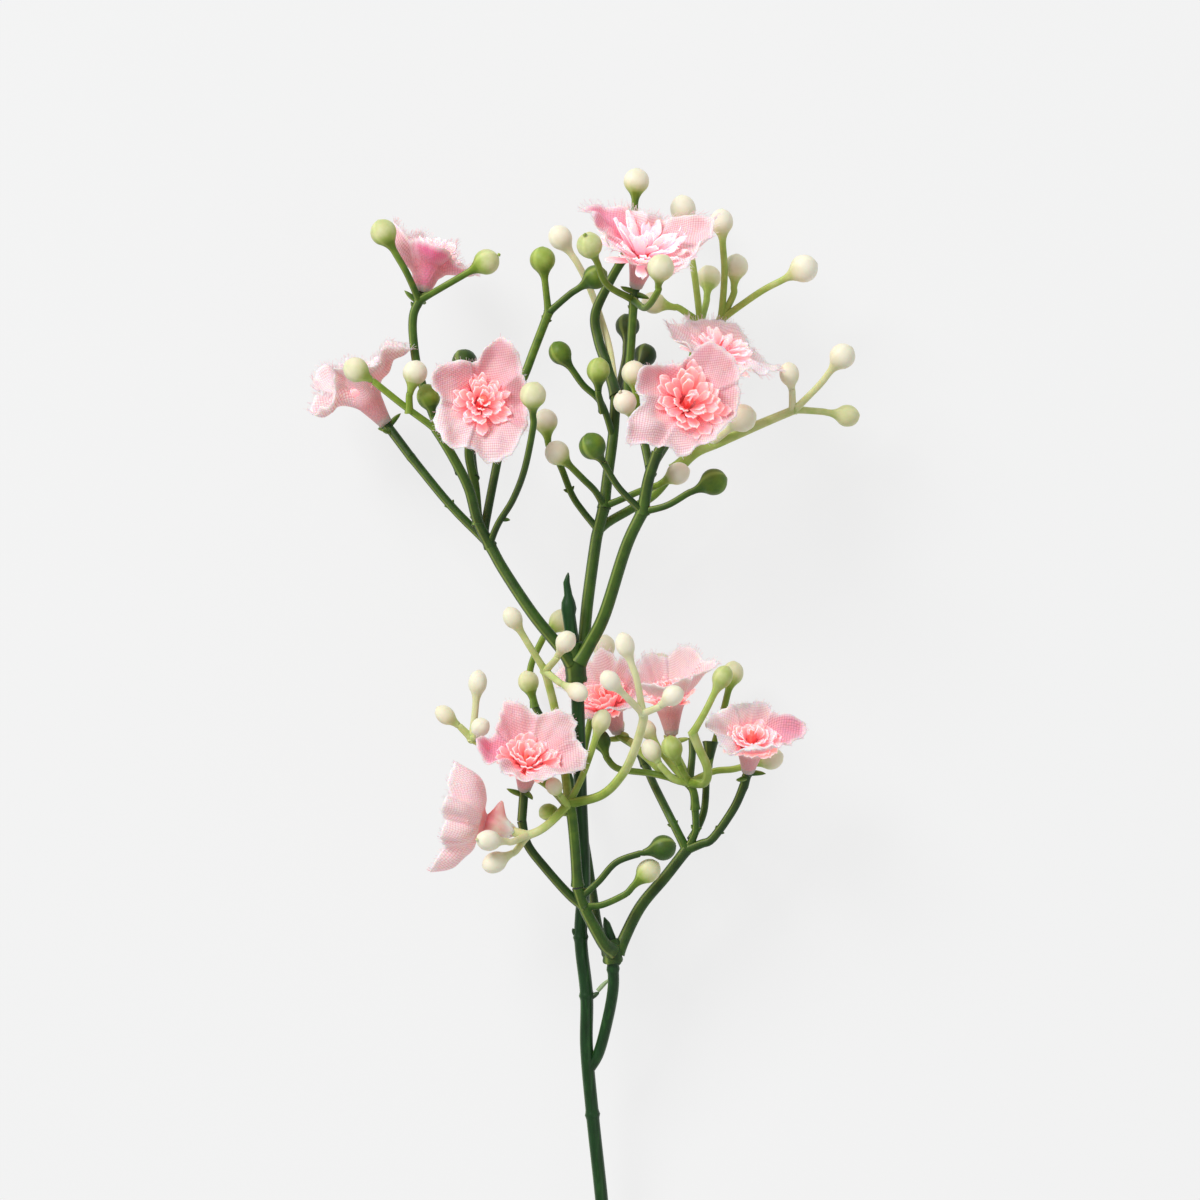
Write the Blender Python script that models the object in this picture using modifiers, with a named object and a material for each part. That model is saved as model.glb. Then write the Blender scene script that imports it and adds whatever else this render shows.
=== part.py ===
"""Artificial gypsophila stem: woven petals on moulded plastic sprays, lying on a surface.

A plastic-coated stem with a wire core carries two dark green sprays. Each spray is one
moulding with thin arms, buds and pegs. Four paler bud clusters are pushed on some of the
pegs, and eleven woven blooms are pushed on the others, each over a small plastic plug.

Every place below is in millimetres: x across the stem, y towards its tip and z up from the
surface that it lies on. The stem touches that surface at its cut end and at two buds.
"""

import math
import random

import bpy
import bmesh
from mathutils import Matrix, Vector

# Driving sizes, in millimetres
MM = 0.001
BOX_CENTRE = Vector((-0.879, -0.256, 0.0))
GAP = 0.3
STEM_RADIUS = 1.1
WIRE_RADIUS = 0.4
ARM_RADIUS = 0.8
STALK_RADIUS = 0.6
STALK_ROOT_RADIUS = 0.7
PEG_RADIUS = 0.3
PEG_LENGTH = 3.0
LEADER_END = 1.5
PLUG_RADIUS = 0.85
PLUG_SIDES = 6
PLUG_BORE = 0.58
PLUG_NOSE = 0.5
PLUG_LENGTH = 8.6
JOINT_PEG_RADIUS = 0.45
FABRIC_THICKNESS = 0.6
ROUTE_TOLERANCE = 0.4
STALK_TOLERANCE = 0.5
CURVE_STEPS = 6
WELD = 0.000002

# Sides of a tube, as the bevel resolution of its curve
SIX_SIDES = 1
EIGHT_SIDES = 2
TEN_SIDES = 3

# Main stem, from its cut end to its pointed tip
STEM_ROUTE = [
    (7.5, -110.5, 0.95), (5.0, -93.5, 3.5), (3.0, -76.5, 6.1), (2.0, -65.5, 7.8),
    (0.5, -51.5, 9.9), (-0.5, -40.0, 11.7), (-0.5, -31.0, 13.1), (-1.5, -21.0, 14.6),
    (-1.0, -11.0, 16.1), (-1.5, 2.5, 18.2), (-2.0, 19.5, 20.8), (-2.5, 26.5, 21.9),
    (-3.5, 34.0, 23.0),
]
STEM_RINGS = (-51.5, -31.0, -21.0, 21.5)
RING_PROFILE = ((-0.6, 1.0), (-0.3, 1.18), (0.3, 1.18), (0.6, 1.0))
STATION_SPACING = 0.2
STEM_TIP = [((-3.5, 35.0, 23.1), 1.25), ((-3.6, 37.0, 23.4), 0.7), ((-3.9, 39.5, 23.8), 0.55),
            ((-3.6, 41.0, 24.0), 0.15)]
BORE_END = 15.0
WIRE_SHORTER = 4.0

# Short peg that leaves the main stem and carries the lower spray
SIDE_ROUTE = [(-0.3, -44.0, 11.1), (1.5, -41.0, 11.8), (3.0, -35.5, 13.7), (4.0, -30.0, 16.0),
              (4.0, -26.0, 17.5), (3.5, -21.0, 18.0)]
SIDE_TIP = [((2.9, -18.6, 18.1), 0.6), ((2.5, -17.5, 18.2), 0.15)]
SIDE_RADIUS = 0.95
SIDE_RING = -26.3

# Block below the surface, in metres, that cuts the flats the stem rests on
SURFACE_BLOCK = (0.3, 0.4, 0.02)

# Collars of the two sprays, each a short sleeve round what carries it
COLLAR_RADIUS = 1.95
UPPER_COLLAR = [(-2.2, 22.6, 21.3), (-2.5, 26.5, 21.9), (-2.9, 29.3, 22.3)]
LOWER_COLLAR = [(4.0, -25.2, 17.6), (3.8, -23.0, 17.9), (3.55, -21.3, 18.0)]


def arm(start_radius, end_radius, *route):
    """An arm of a spray: its radius at both ends and the places that it runs through."""
    return {"start": start_radius, "end": end_radius, "route": route}


def bud(radius, stretch, *route):
    """A bud on its stalk: its radius, how much longer than round it is, and its route."""
    return {"radius": radius, "stretch": stretch, "route": route}


UPPER_ARMS = [
    arm(1.0, 0.95, (-3.4, 26.3, 22.6), (-5.0, 28.5, 23.7), (-9.5, 34.0, 23.5), (-14.5, 41.5, 22.5),
        (-17.0, 46.0, 22.0)),
    arm(0.75, 0.75, (-17.0, 46.0, 22.0), (-23.5, 52.5, 21.0), (-30.5, 61.0, 19.5)),
    arm(0.95, 0.85, (-17.0, 46.0, 22.0), (-19.0, 50.0, 24.0), (-20.5, 55.5, 27.0), (-23.0, 60.5, 29.0),
        (-26.0, 65.5, 30.0)),
    arm(0.75, 0.75, (-22.0, 58.5, 28.0), (-26.0, 66.5, 22.0), (-29.0, 75.0, 20.0), (-30.0, 81.0, 19.5),
        (-30.0, 85.0, 19.5), (-29.0, 87.5, 19.5)),
    arm(0.8, 0.75, (-19.0, 49.5, 23.7), (-19.5, 56.0, 22.0), (-20.5, 61.5, 23.0), (-19.8, 65.5, 25.0)),
    arm(0.75, 0.75, (-18.0, 48.0, 22.8), (-16.0, 58.5, 20.5), (-14.0, 68.0, 20.0), (-11.0, 75.0, 19.0),
        (-9.5, 79.0, 18.0), (-7.0, 85.5, 18.0)),
    arm(1.0, 1.0, (-1.7, 26.4, 21.4), (-1.0, 29.5, 20.6), (-0.3, 36.5, 20.0), (1.0, 46.0, 20.0),
        (1.5, 48.5, 20.0), (2.5, 52.5, 21.0)),
    arm(0.8, 0.75, (1.5, 48.5, 20.0), (3.5, 50.0, 19.0), (7.0, 52.0, 18.0), (11.0, 54.5, 17.0),
        (14.0, 58.0, 16.5)),
    arm(0.9, 0.9, (2.5, 52.5, 21.0), (3.0, 57.0, 20.0), (4.0, 64.5, 19.0), (4.5, 71.5, 18.0)),
    arm(0.95, 0.7, (4.5, 71.5, 18.0), (3.0, 76.5, 15.0), (1.5, 81.0, 13.5), (1.0, 85.5, 13.0),
        (3.5, 91.0, 13.5), (5.5, 94.5, 14.5)),
    arm(1.1, 1.0, (-1.6, 26.3, 22.8), (0.0, 29.0, 23.4), (2.5, 34.0, 25.0), (5.5, 43.5, 28.0),
        (7.0, 47.5, 29.5), (9.0, 51.5, 30.0)),
    arm(0.95, 0.85, (9.0, 51.5, 30.0), (10.0, 57.0, 31.0), (11.5, 61.5, 31.5)),
    arm(0.75, 0.75, (10.4, 58.0, 31.0), (8.5, 66.5, 26.0), (6.5, 72.0, 22.5), (7.0, 79.0, 22.5),
        (7.5, 87.5, 23.0)),
    arm(0.75, 0.75, (10.5, 59.0, 31.0), (13.0, 63.0, 25.5), (14.5, 65.8, 22.5)),
]

UPPER_BUDS = [
    bud(2.2, 1.0, (-29.0, 87.5, 19.5), (-31.0, 92.0, 22.2), (-35.0, 99.0, 23.5)),
    bud(2.2, 1.0, (-29.0, 87.5, 19.5), (-24.5, 90.0, 22.2), (-17.5, 94.0, 23.0)),
    bud(2.1, 1.0, (-26.0, 65.5, 30.0), (-31.5, 69.5, 30.0), (-36.5, 73.5, 30.5), (-39.5, 75.5, 31.0)),
    bud(2.1, 1.0, (-30.5, 68.5, 30.0), (-30.5, 71.0, 30.3), (-29.5, 75.0, 30.5)),
    bud(2.0, 1.1, (-25.0, 64.0, 29.7), (-26.5, 67.5, 27.5), (-27.3, 71.0, 27.0)),
    bud(2.2, 1.0, (-19.5, 57.5, 22.0), (-20.5, 66.5, 14.0), (-21.5, 72.5, 6.5), (-21.5, 77.5, 1.95)),
    bud(2.2, 1.0, (-7.0, 85.5, 18.0), (-7.5, 90.0, 18.5), (-8.0, 94.5, 19.0)),
    bud(2.1, 1.0, (-7.0, 85.5, 18.0), (-3.5, 88.5, 19.0), (1.0, 91.5, 20.0)),
    bud(2.2, 1.0, (-17.0, 46.0, 22.0), (-15.5, 49.5, 24.5), (-13.0, 53.5, 28.0), (-11.0, 58.5, 33.0),
        (-9.5, 65.5, 38.5), (-9.5, 71.0, 41.5)),
    bud(2.1, 1.0, (1.5, 48.5, 20.0), (-1.0, 51.5, 19.5), (-3.0, 54.5, 19.0), (-5.0, 59.5, 18.0),
        (-7.0, 63.0, 18.0), (-7.5, 67.0, 18.0)),
    bud(2.1, 1.0, (2.5, 52.5, 21.0), (1.0, 55.0, 23.0), (-1.0, 57.0, 24.5), (-5.5, 61.5, 26.0)),
    bud(1.9, 1.1, (2.5, 52.5, 21.0), (5.0, 53.5, 21.5), (8.5, 55.0, 22.5), (11.5, 56.0, 24.5),
        (15.0, 58.0, 26.0)),
    bud(2.2, 1.0, (5.5, 94.5, 14.5), (7.5, 100.5, 15.5), (8.0, 108.0, 16.0)),
    bud(2.0, 1.1, (4.5, 71.5, 18.0), (3.5, 79.0, 13.5), (2.0, 84.5, 11.0), (0.0, 90.0, 10.5),
        (-2.0, 94.0, 11.5), (-5.0, 98.5, 12.0)),
    bud(1.9, 1.1, (4.0, 64.5, 19.0), (2.0, 70.0, 22.0), (-1.0, 73.0, 23.0), (-5.0, 78.5, 24.0)),
    bud(2.0, 1.1, (2.2, 69.0, 21.5), (1.5, 71.5, 24.0), (1.5, 75.5, 25.0)),
    bud(2.1, 1.0, (4.5, 71.0, 18.0), (6.0, 77.5, 11.0), (6.5, 83.5, 8.0)),
    bud(2.0, 1.0, (4.5, 71.0, 18.0), (7.5, 75.0, 11.0), (9.5, 78.5, 7.0)),
    bud(2.3, 1.0, (9.0, 51.5, 30.0), (5.0, 55.5, 33.0), (2.5, 59.5, 35.0), (0.5, 62.5, 36.0)),
    bud(2.3, 1.0, (9.0, 51.5, 30.0), (13.0, 52.5, 31.0), (16.5, 54.5, 32.0), (21.0, 56.5, 33.0)),
    bud(2.2, 1.0, (7.5, 87.5, 23.0), (3.0, 90.0, 27.0), (0.0, 96.5, 33.0)),
    bud(2.3, 1.0, (7.5, 87.5, 23.0), (9.5, 86.0, 31.0), (11.5, 88.5, 36.5), (12.0, 92.5, 39.5)),
    bud(2.1, 1.0, (8.5, 66.0, 26.3), (8.0, 70.0, 27.5), (7.5, 75.0, 28.0)),
    bud(2.0, 1.0, (9.0, 64.0, 27.5), (7.5, 67.0, 30.0), (6.0, 70.0, 32.0)),
]

LOWER_ARMS = [
    arm(1.1, 1.0, (3.6, -23.0, 19.3), (2.5, -22.0, 20.8), (0.5, -18.5, 22.0), (-1.0, -15.5, 22.5),
        (-2.0, -12.3, 23.4)),
    arm(0.8, 0.75, (-1.0, -15.5, 22.5), (-3.5, -13.5, 22.5), (-7.5, -9.0, 23.5), (-10.5, -5.0, 24.0),
        (-11.5, -1.0, 24.5)),
    arm(0.85, 0.6, (3.0, -23.4, 16.6), (1.5, -19.5, 12.0), (0.5, -13.5, 9.0), (-1.0, -4.0, 7.0),
        (-3.5, 6.0, 6.0), (-6.5, 13.0, 5.0), (-9.5, 18.5, 4.5)),
    arm(0.65, 0.6, (-2.5, 2.5, 6.2), (-0.5, 13.0, 4.0), (1.5, 21.0, 3.0)),
    arm(1.0, 0.95, (4.9, -23.3, 17.6), (8.5, -16.0, 17.5), (13.0, -10.5, 18.0), (16.5, -6.0, 18.0)),
    arm(0.75, 0.7, (16.5, -6.0, 18.0), (15.5, -4.0, 18.0), (13.5, 0.0, 16.5), (11.0, 5.0, 12.0),
        (9.5, 8.5, 9.5)),
    arm(0.8, 0.8, (16.5, -6.0, 18.0), (18.0, -3.0, 18.5), (18.0, 0.9, 18.9)),
    arm(0.65, 0.6, (17.5, -4.0, 18.0), (19.5, 0.5, 16.0), (20.0, 7.0, 14.0), (20.5, 10.0, 13.3)),
    arm(0.75, 0.75, (16.5, -6.0, 18.0), (19.0, -5.0, 18.5), (21.0, -4.0, 19.0), (24.5, 1.0, 20.0),
        (26.3, 5.0, 21.0)),
]

LOWER_BUDS = [
    bud(2.0, 1.1, (-1.0, -15.5, 22.5), (2.0, -15.3, 22.5), (6.0, -13.5, 22.5), (10.0, -9.5, 23.0)),
    bud(2.2, 1.0, (-1.5, -14.0, 22.9), (1.5, -11.3, 23.8), (4.5, -8.0, 25.0), (8.5, -6.5, 25.0),
        (12.5, -5.5, 25.0)),
    bud(1.8, 1.1, (-9.5, 18.5, 4.5), (-10.5, 22.5, 4.5)),
    bud(1.9, 1.1, (-9.5, 18.5, 4.5), (-10.2, 24.5, 4.5), (-8.0, 30.0, 4.5), (-5.0, 33.0, 4.5)),
    bud(1.9, 1.1, (1.5, 21.0, 3.0), (2.0, 24.5, 2.8), (2.5, 28.5, 3.0)),
    bud(1.9, 1.1, (1.5, 21.0, 3.0), (7.0, 23.0, 3.2), (12.0, 25.5, 4.0)),
    bud(1.9, 1.1, (20.3, 8.5, 13.7), (22.5, 16.0, 10.0), (24.5, 24.0, 8.0)),
]

FRONT_CLUSTER_ARMS = [
    arm(1.15, 1.2, (-2.05, -11.6, 23.65), (-2.5, -5.0, 25.5), (-3.0, 0.0, 26.7), (-3.5, 2.0, 27.0)),
    arm(0.75, 0.7, (-3.5, 2.0, 27.0), (-6.5, -1.0, 28.5), (-8.5, -2.5, 29.0), (-10.5, -3.3, 29.0)),
    arm(0.75, 0.7, (-3.5, 2.0, 27.0), (2.0, 3.5, 29.0), (5.5, 7.0, 33.0), (7.5, 11.0, 37.0),
        (9.0, 16.0, 40.0), (9.0, 17.5, 41.0)),
    arm(0.75, 0.7, (-3.5, 1.5, 27.0), (-4.0, 6.0, 23.0), (-5.0, 13.0, 21.0), (-6.0, 18.5, 22.0),
        (-7.5, 24.5, 25.5)),
    arm(0.75, 0.65, (-3.5, 1.5, 27.0), (-7.0, 5.0, 22.0), (-12.0, 8.0, 20.0), (-16.0, 10.5, 21.0),
        (-20.0, 13.0, 22.0)),
]

FRONT_CLUSTER_BUDS = [
    bud(1.8, 1.25, (-10.5, -3.3, 29.0), (-13.0, -4.3, 32.8), (-17.0, -4.0, 36.0)),
    bud(1.8, 1.25, (-10.5, -3.3, 29.0), (-12.5, -6.0, 31.0), (-16.0, -7.8, 32.5)),
    bud(1.6, 1.35, (9.0, 17.5, 41.0), (8.0, 23.0, 43.0), (6.0, 29.0, 44.0)),
    bud(1.6, 1.25, (9.0, 17.5, 41.0), (6.5, 20.0, 44.0), (3.5, 23.0, 46.0)),
    bud(1.7, 1.15, (9.0, 17.5, 41.0), (11.5, 18.5, 44.0), (14.0, 20.5, 45.5)),
    bud(1.6, 1.25, (-7.5, 24.5, 25.5), (-10.0, 28.5, 27.5), (-13.0, 33.5, 29.0)),
    bud(1.7, 1.2, (-7.5, 24.5, 25.5), (-5.7, 26.5, 29.0), (-4.0, 29.5, 31.5)),
    bud(1.6, 1.25, (-7.5, 24.5, 25.5), (-5.0, 22.5, 29.0), (-2.0, 21.0, 31.0)),
    bud(1.6, 1.35, (-20.0, 13.0, 22.0), (-19.5, 17.0, 22.5), (-19.0, 22.5, 23.0)),
    bud(1.5, 1.3, (-20.0, 13.0, 22.0), (-22.0, 15.0, 22.5), (-24.5, 17.0, 23.0)),
    bud(1.6, 1.1, (-20.0, 13.0, 22.0), (-19.3, 13.3, 23.0), (-18.5, 15.0, 26.5)),
    bud(1.6, 1.3, (-3.5, 2.0, 27.0), (-1.5, 6.0, 27.0), (0.0, 10.0, 27.0), (2.0, 16.0, 28.0)),
    bud(1.4, 1.2, (-3.5, 1.5, 27.2), (-5.0, 3.5, 29.0), (-6.0, 5.0, 30.0)),
    bud(1.5, 1.2, (-3.3, 0.5, 26.8), (-5.5, 0.5, 24.5), (-7.0, 0.5, 22.8)),
]

RIGHT_CLUSTER_ARMS = [
    arm(1.15, 1.0, (18.0, 1.6, 19.0), (17.8, 3.5, 19.5), (17.0, 5.5, 20.0)),
    arm(0.75, 0.65, (17.0, 5.5, 20.0), (13.5, 6.5, 18.5), (10.0, 9.5, 15.0), (7.0, 12.2, 10.5)),
    arm(0.75, 0.7, (17.0, 5.5, 20.0), (15.8, 8.0, 17.0), (14.5, 10.5, 15.3)),
    arm(0.65, 0.6, (17.0, 5.5, 20.0), (17.5, 10.0, 17.5), (17.5, 13.0, 17.0)),
    arm(0.75, 0.7, (17.0, 5.5, 20.0), (19.5, 5.5, 23.0), (20.0, 8.0, 26.0), (18.5, 11.5, 28.0),
        (17.5, 14.0, 29.0)),
]

RIGHT_CLUSTER_BUDS = [
    bud(1.6, 1.2, (15.0, 6.0, 19.0), (10.5, 7.0, 18.0), (5.0, 7.7, 13.5), (3.0, 9.5, 12.0),
        (2.0, 12.5, 11.0)),
    bud(1.6, 1.25, (17.0, 5.5, 20.0), (14.5, 6.0, 21.5), (12.0, 8.5, 22.5), (10.5, 11.0, 22.5)),
    bud(1.8, 1.15, (17.0, 5.5, 20.0), (15.5, 8.0, 23.0), (14.0, 11.5, 24.5)),
    bud(1.5, 1.2, (17.0, 5.5, 20.0), (14.8, 7.5, 20.0), (12.0, 11.0, 19.0), (9.8, 14.5, 18.7)),
    bud(1.7, 1.2, (17.5, 14.0, 29.0), (19.5, 17.5, 30.0), (22.5, 23.5, 31.0)),
    bud(1.9, 1.1, (17.0, 5.5, 20.0), (21.0, 7.3, 18.0), (24.5, 7.7, 16.5), (31.0, 9.5, 16.5)),
]

EDGE_CLUSTER_ARMS = [
    arm(1.15, 0.75, (14.7, 58.8, 16.4), (18.0, 61.8, 16.0), (22.0, 63.5, 16.5), (29.0, 66.5, 17.0),
        (35.0, 69.0, 18.0)),
]

EDGE_CLUSTER_BUDS = [
    bud(2.2, 1.0, (35.0, 69.0, 18.0), (39.0, 73.0, 20.0), (43.0, 78.0, 22.0)),
    bud(1.9, 1.1, (35.0, 69.0, 18.0), (39.5, 68.7, 16.0), (44.0, 68.0, 14.5)),
    bud(1.7, 1.2, (34.6, 68.8, 17.9), (34.5, 72.0, 19.5), (34.0, 75.0, 20.0)),
    bud(2.4, 1.0, (20.5, 63.0, 16.3), (23.0, 65.0, 18.5), (26.0, 67.5, 21.0)),
]

BACK_CLUSTER_ARMS = [
    arm(1.15, 0.9, (15.0, 66.7, 21.6), (16.5, 69.5, 18.0)),
    arm(0.75, 0.75, (16.5, 69.5, 18.0), (18.0, 74.0, 12.0), (20.5, 80.0, 11.0), (22.5, 84.5, 14.0)),
    arm(0.75, 0.75, (17.0, 71.0, 15.5), (17.5, 77.0, 9.0), (19.0, 84.0, 8.5)),
]

BACK_CLUSTER_BUDS = [
    bud(2.0, 1.1, (22.5, 84.5, 14.0), (23.0, 92.0, 17.0), (22.5, 101.0, 18.0)),
    bud(2.1, 1.0, (22.5, 84.5, 14.0), (24.5, 88.5, 15.0), (25.0, 93.5, 15.0)),
    bud(2.4, 1.0, (22.5, 84.5, 14.0), (29.0, 89.0, 17.0), (36.5, 93.0, 19.0)),
    bud(1.9, 1.1, (19.0, 84.0, 8.5), (15.5, 86.5, 7.5), (11.0, 87.5, 7.0)),
    bud(2.1, 1.0, (19.0, 84.0, 8.5), (20.0, 87.5, 4.5), (20.5, 92.0, 1.85)),
    bud(2.2, 1.1, (19.0, 84.0, 8.5), (18.0, 92.0, 8.5), (16.0, 103.5, 9.0)),
]

# Barbs in pairs on the arms, each with the arm's direction there
UPPER_BARBS = [
    ((-19.2, 50.3, 24.2), (-0.3, 0.8, 0.4)), ((-14.6, 50.2, 25.2), (0.4, 0.7, 0.5)),
    ((-3.3, 55.0, 18.9), (-0.4, 0.9, -0.2)), ((7.4, 48.3, 29.6), (0.4, 0.9, 0.2)),
    ((-23.5, 52.5, 21.0), (-0.6, 0.7, 0.0)), ((-29.8, 86.3, 19.5), (0.3, 0.9, 0.0)),
    ((-7.6, 84.0, 18.0), (0.4, 0.9, 0.0)), ((7.4, 85.8, 22.9), (0.0, 0.9, 0.2)),
]
LOWER_BARBS = [
    ((14.4, -2.0, 17.5), (-0.4, 0.8, -0.2)), ((18.0, -2.7, 18.6), (0.2, 0.9, 0.1)),
    ((21.8, -3.0, 19.2), (0.6, 0.8, 0.2)), ((-1.6, -13.3, 23.1), (-0.3, 0.9, 0.2)),
]
FRONT_BARBS = [((-3.3, 1.2, 26.9), (-0.2, 0.9, 0.3))]
RIGHT_BARBS = [((17.6, 4.2, 19.7), (-0.3, 0.9, 0.2))]
SPIKE_SIDES = 4
SPIKE_POINT = 0.2
BARB_LENGTH = 1.5
BARB_RADIUS = 0.4
BARB_FORWARD = 0.5
BRACTS = 3
BRACT_LENGTH = 3.2
BRACT_RADIUS = 0.6
BRACT_BELOW = 1.3
BRACT_STEP = 0.4
BRACT_FORWARD = 0.35


def bloom(base, axis, radius, leans, lift, turn, side):
    """A bloom: where its plug sits, the way it faces, its reach, how far its petals lean
    out at the root and at the tip in degrees, how far the fabric sits up the plug, its
    turn about its axis in degrees and the route that leads its peg there."""
    return {"base": Vector(base), "axis": Vector(axis).normalized(), "radius": radius, "leans": leans,
            "lift": lift, "turn": turn, "from": side}


OPEN = (52.0, 76.0)
HALF_OPEN = (42.0, 62.0)
CUPPED = (28.0, 40.0)

UPPER_BLOOMS = [
    bloom((-28.6, 89.2, 18.3), (0.22, 0.92, -0.34), 8.6, HALF_OPEN, 0.0, 20, ((-29.0, 87.5, 19.5),)),
    bloom((-35.0, 67.0, 18.0), (-0.58, 0.80, 0.1), 9.0, HALF_OPEN, 0.0, 50,
          ((-30.5, 61.0, 19.5), (-33.5, 65.0, 18.3))),
    bloom((-19.2, 68.0, 28.0), (0.16, 0.3, 0.94), 9.6, OPEN, 0.0, 10,
          ((-19.8, 65.5, 25.0), (-19.6, 66.9, 26.2))),
    bloom((8.0, 90.3, 23.9), (0.22, 0.83, 0.5), 10.0, OPEN, 0.0, 0, ((7.5, 87.5, 23.0),)),
    bloom((15.0, 67.5, 33.5), (0.25, 0.38, 0.89), 10.2, OPEN, 0.0, 35,
          ((11.5, 61.5, 31.5), (14.2, 66.2, 31.9))),
]
BACK_BLOOMS = [
    bloom((20.3, 73.0, 20.8), (0.33, 0.86, 0.38), 9.2, OPEN, 0.0, 60,
          ((16.5, 69.5, 18.0), (19.0, 71.0, 19.5))),
]
LOWER_BLOOMS = [
    bloom((-11.0, 5.0, 25.5), (0.1, 0.72, 0.69), 9.6, OPEN, 0.0, 15,
          ((-11.5, -1.0, 24.5), (-11.2, 3.0, 24.2))),
    bloom((27.0, 8.0, 22.5), (0.08, 0.75, 0.65), 8.3, HALF_OPEN, 0.0, 30,
          ((26.3, 5.0, 21.0), (26.7, 6.6, 21.5))),
]
FRONT_BLOOMS = [
    bloom((-13.2, -2.6, 28.6), (-0.96, 0.26, -0.05), 9.4, OPEN, 1.8, 0, ((-10.5, -3.3, 29.0),)),
]
RIGHT_BLOOMS = [
    bloom((4.7, 14.5, 8.6), (-0.3, 0.78, 0.55), 8.5, OPEN, 0.0, 25,
          ((7.0, 12.2, 10.5),)),
    bloom((14.0, 13.3, 15.5), (-0.07, 0.94, 0.33), 6.2, CUPPED, 1.0, 12,
          ((14.5, 10.5, 15.3), (14.15, 11.9, 15.1))),
]


# Where the clusters are pushed on their sprays, and which way
EDGE_JOINT = ((14.0, 58.1, 16.45), (0.75, 0.65, -0.1))
BACK_JOINT = ((14.6, 66.0, 22.3), (0.4, 0.65, -0.75))
FRONT_JOINT = ((-2.0, -12.2, 23.4), (-0.08, 0.95, 0.28))
RIGHT_JOINT = ((18.0, 1.0, 18.9), (-0.05, 0.97, 0.22))
SOCKET_MOUTH = 0.5

# Empty cups on two pegs of the lower spray: places with radii
CUPS = [
    (((9.5, 8.5, 9.5), 0.7), ((9.1, 10.5, 8.5), 1.15)),
    (((20.5, 10.0, 13.3), 0.6), ((20.6, 12.3, 13.0), 1.2)),
]
SHARP_ANGLE = 50


def place(point):
    """A place in metres, moved so that the whole object's box is centred on the origin."""
    return (Vector(point) - BOX_CENTRE) * MM


def clear_scene():
    """Remove whatever the scene holds."""
    for item in list(bpy.data.objects):
        bpy.data.objects.remove(item, do_unlink=True)


def new_collection(name):
    """A collection of the scene."""
    collection = bpy.data.collections.new(name)
    bpy.context.scene.collection.children.link(collection)
    return collection


def plastic(name, colour, roughness, metallic=0.0):
    """A plain material."""
    material = bpy.data.materials.new(name)
    material.use_nodes = True
    shader = material.node_tree.nodes["Principled BSDF"]
    shader.inputs["Base Color"].default_value = (*colour, 1.0)
    shader.inputs["Roughness"].default_value = roughness
    shader.inputs["Metallic"].default_value = metallic
    return material


def baked_mesh(source, name):
    """The evaluated mesh of an object in world space, with its loose caps welded on."""
    graph = bpy.context.evaluated_depsgraph_get()
    mesh = bpy.data.meshes.new_from_object(source.evaluated_get(graph))
    mesh.transform(source.matrix_world)
    mesh.name = name
    soup = bmesh.new()
    soup.from_mesh(mesh)
    bmesh.ops.remove_doubles(soup, verts=soup.verts, dist=WELD)
    soup.to_mesh(mesh)
    soup.free()
    return mesh


def new_object(name, mesh, collection):
    """An object of a mesh, linked to a collection."""
    item = bpy.data.objects.new(name, mesh)
    collection.objects.link(item)
    return item


def tube(name, stations, sides, collection):
    """A solid tube through stations of a place and a radius, in millimetres."""
    curve = bpy.data.curves.new(name, "CURVE")
    curve.dimensions = "3D"
    curve.bevel_depth = MM
    curve.bevel_resolution = sides
    curve.use_fill_caps = True
    spline = curve.splines.new("POLY")
    spline.points.add(len(stations) - 1)
    for point, (where, radius) in zip(spline.points, stations):
        point.co = (*place(where), 1.0)
        point.radius = radius
    holder = new_object(name + "_curve", curve, collection)
    bpy.context.view_layer.update()
    mesh = baked_mesh(holder, name)
    bpy.data.objects.remove(holder, do_unlink=True)
    return new_object(name, mesh, collection)


def thinned(places, tolerance):
    """The places that are needed to stay within a tolerance of the line through them all."""
    if len(places) < 3:
        return places
    first, last = places[0], places[-1]
    line = (last - first).normalized()
    away = [(spot - first - line * (spot - first).dot(line)).length for spot in places]
    worst = max(range(len(places)), key=away.__getitem__)
    if away[worst] < tolerance:
        return [first, last]
    return thinned(places[:worst + 1], tolerance)[:-1] + thinned(places[worst:], tolerance)


def smooth(route, tolerance=ROUTE_TOLERANCE):
    """Places along a smooth curve through the route's points, closer where it bends."""
    knots = [Vector(point) for point in route]
    before = knots[0] * 2 - knots[1]
    after = knots[-1] * 2 - knots[-2]
    knots = [before] + knots + [after]
    places = []
    for index in range(1, len(knots) - 2):
        a, b, c, d = knots[index - 1:index + 3]
        for step in range(CURVE_STEPS):
            t = step / CURVE_STEPS
            places.append(0.5 * (2 * b + (c - a) * t + (2 * a - 5 * b + 4 * c - d) * t ** 2
                                 + (3 * b - a - 3 * c + d) * t ** 3))
    places.append(knots[-2])
    return thinned(places, tolerance)


def tapered(places, start_radius, end_radius):
    """Stations along places, with a radius that changes evenly from start to end."""
    last = len(places) - 1
    return [(spot, start_radius + (end_radius - start_radius) * index / last)
            for index, spot in enumerate(places)]


# A bud along its axis: distance from its centre and radius, as shares of its own radius
BUD_PROFILE = [(-0.75, 0.70), (0.05, 1.0), (0.65, 0.76), (0.98, 0.30)]
SMALL_PROFILE = [(-0.6, 0.86), (0.35, 0.98), (0.96, 0.36)]
BUD_NECK = 1.7
NECK_SHARE = 0.85
SMALL_BUD = 2.05

# How far roots are sunk into what they grow from: a little more for each in turn, so that
# no two ends lie in the same place
SINK = 0.2
SINK_STEP = 0.07
SINK_TURNS = 5


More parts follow.
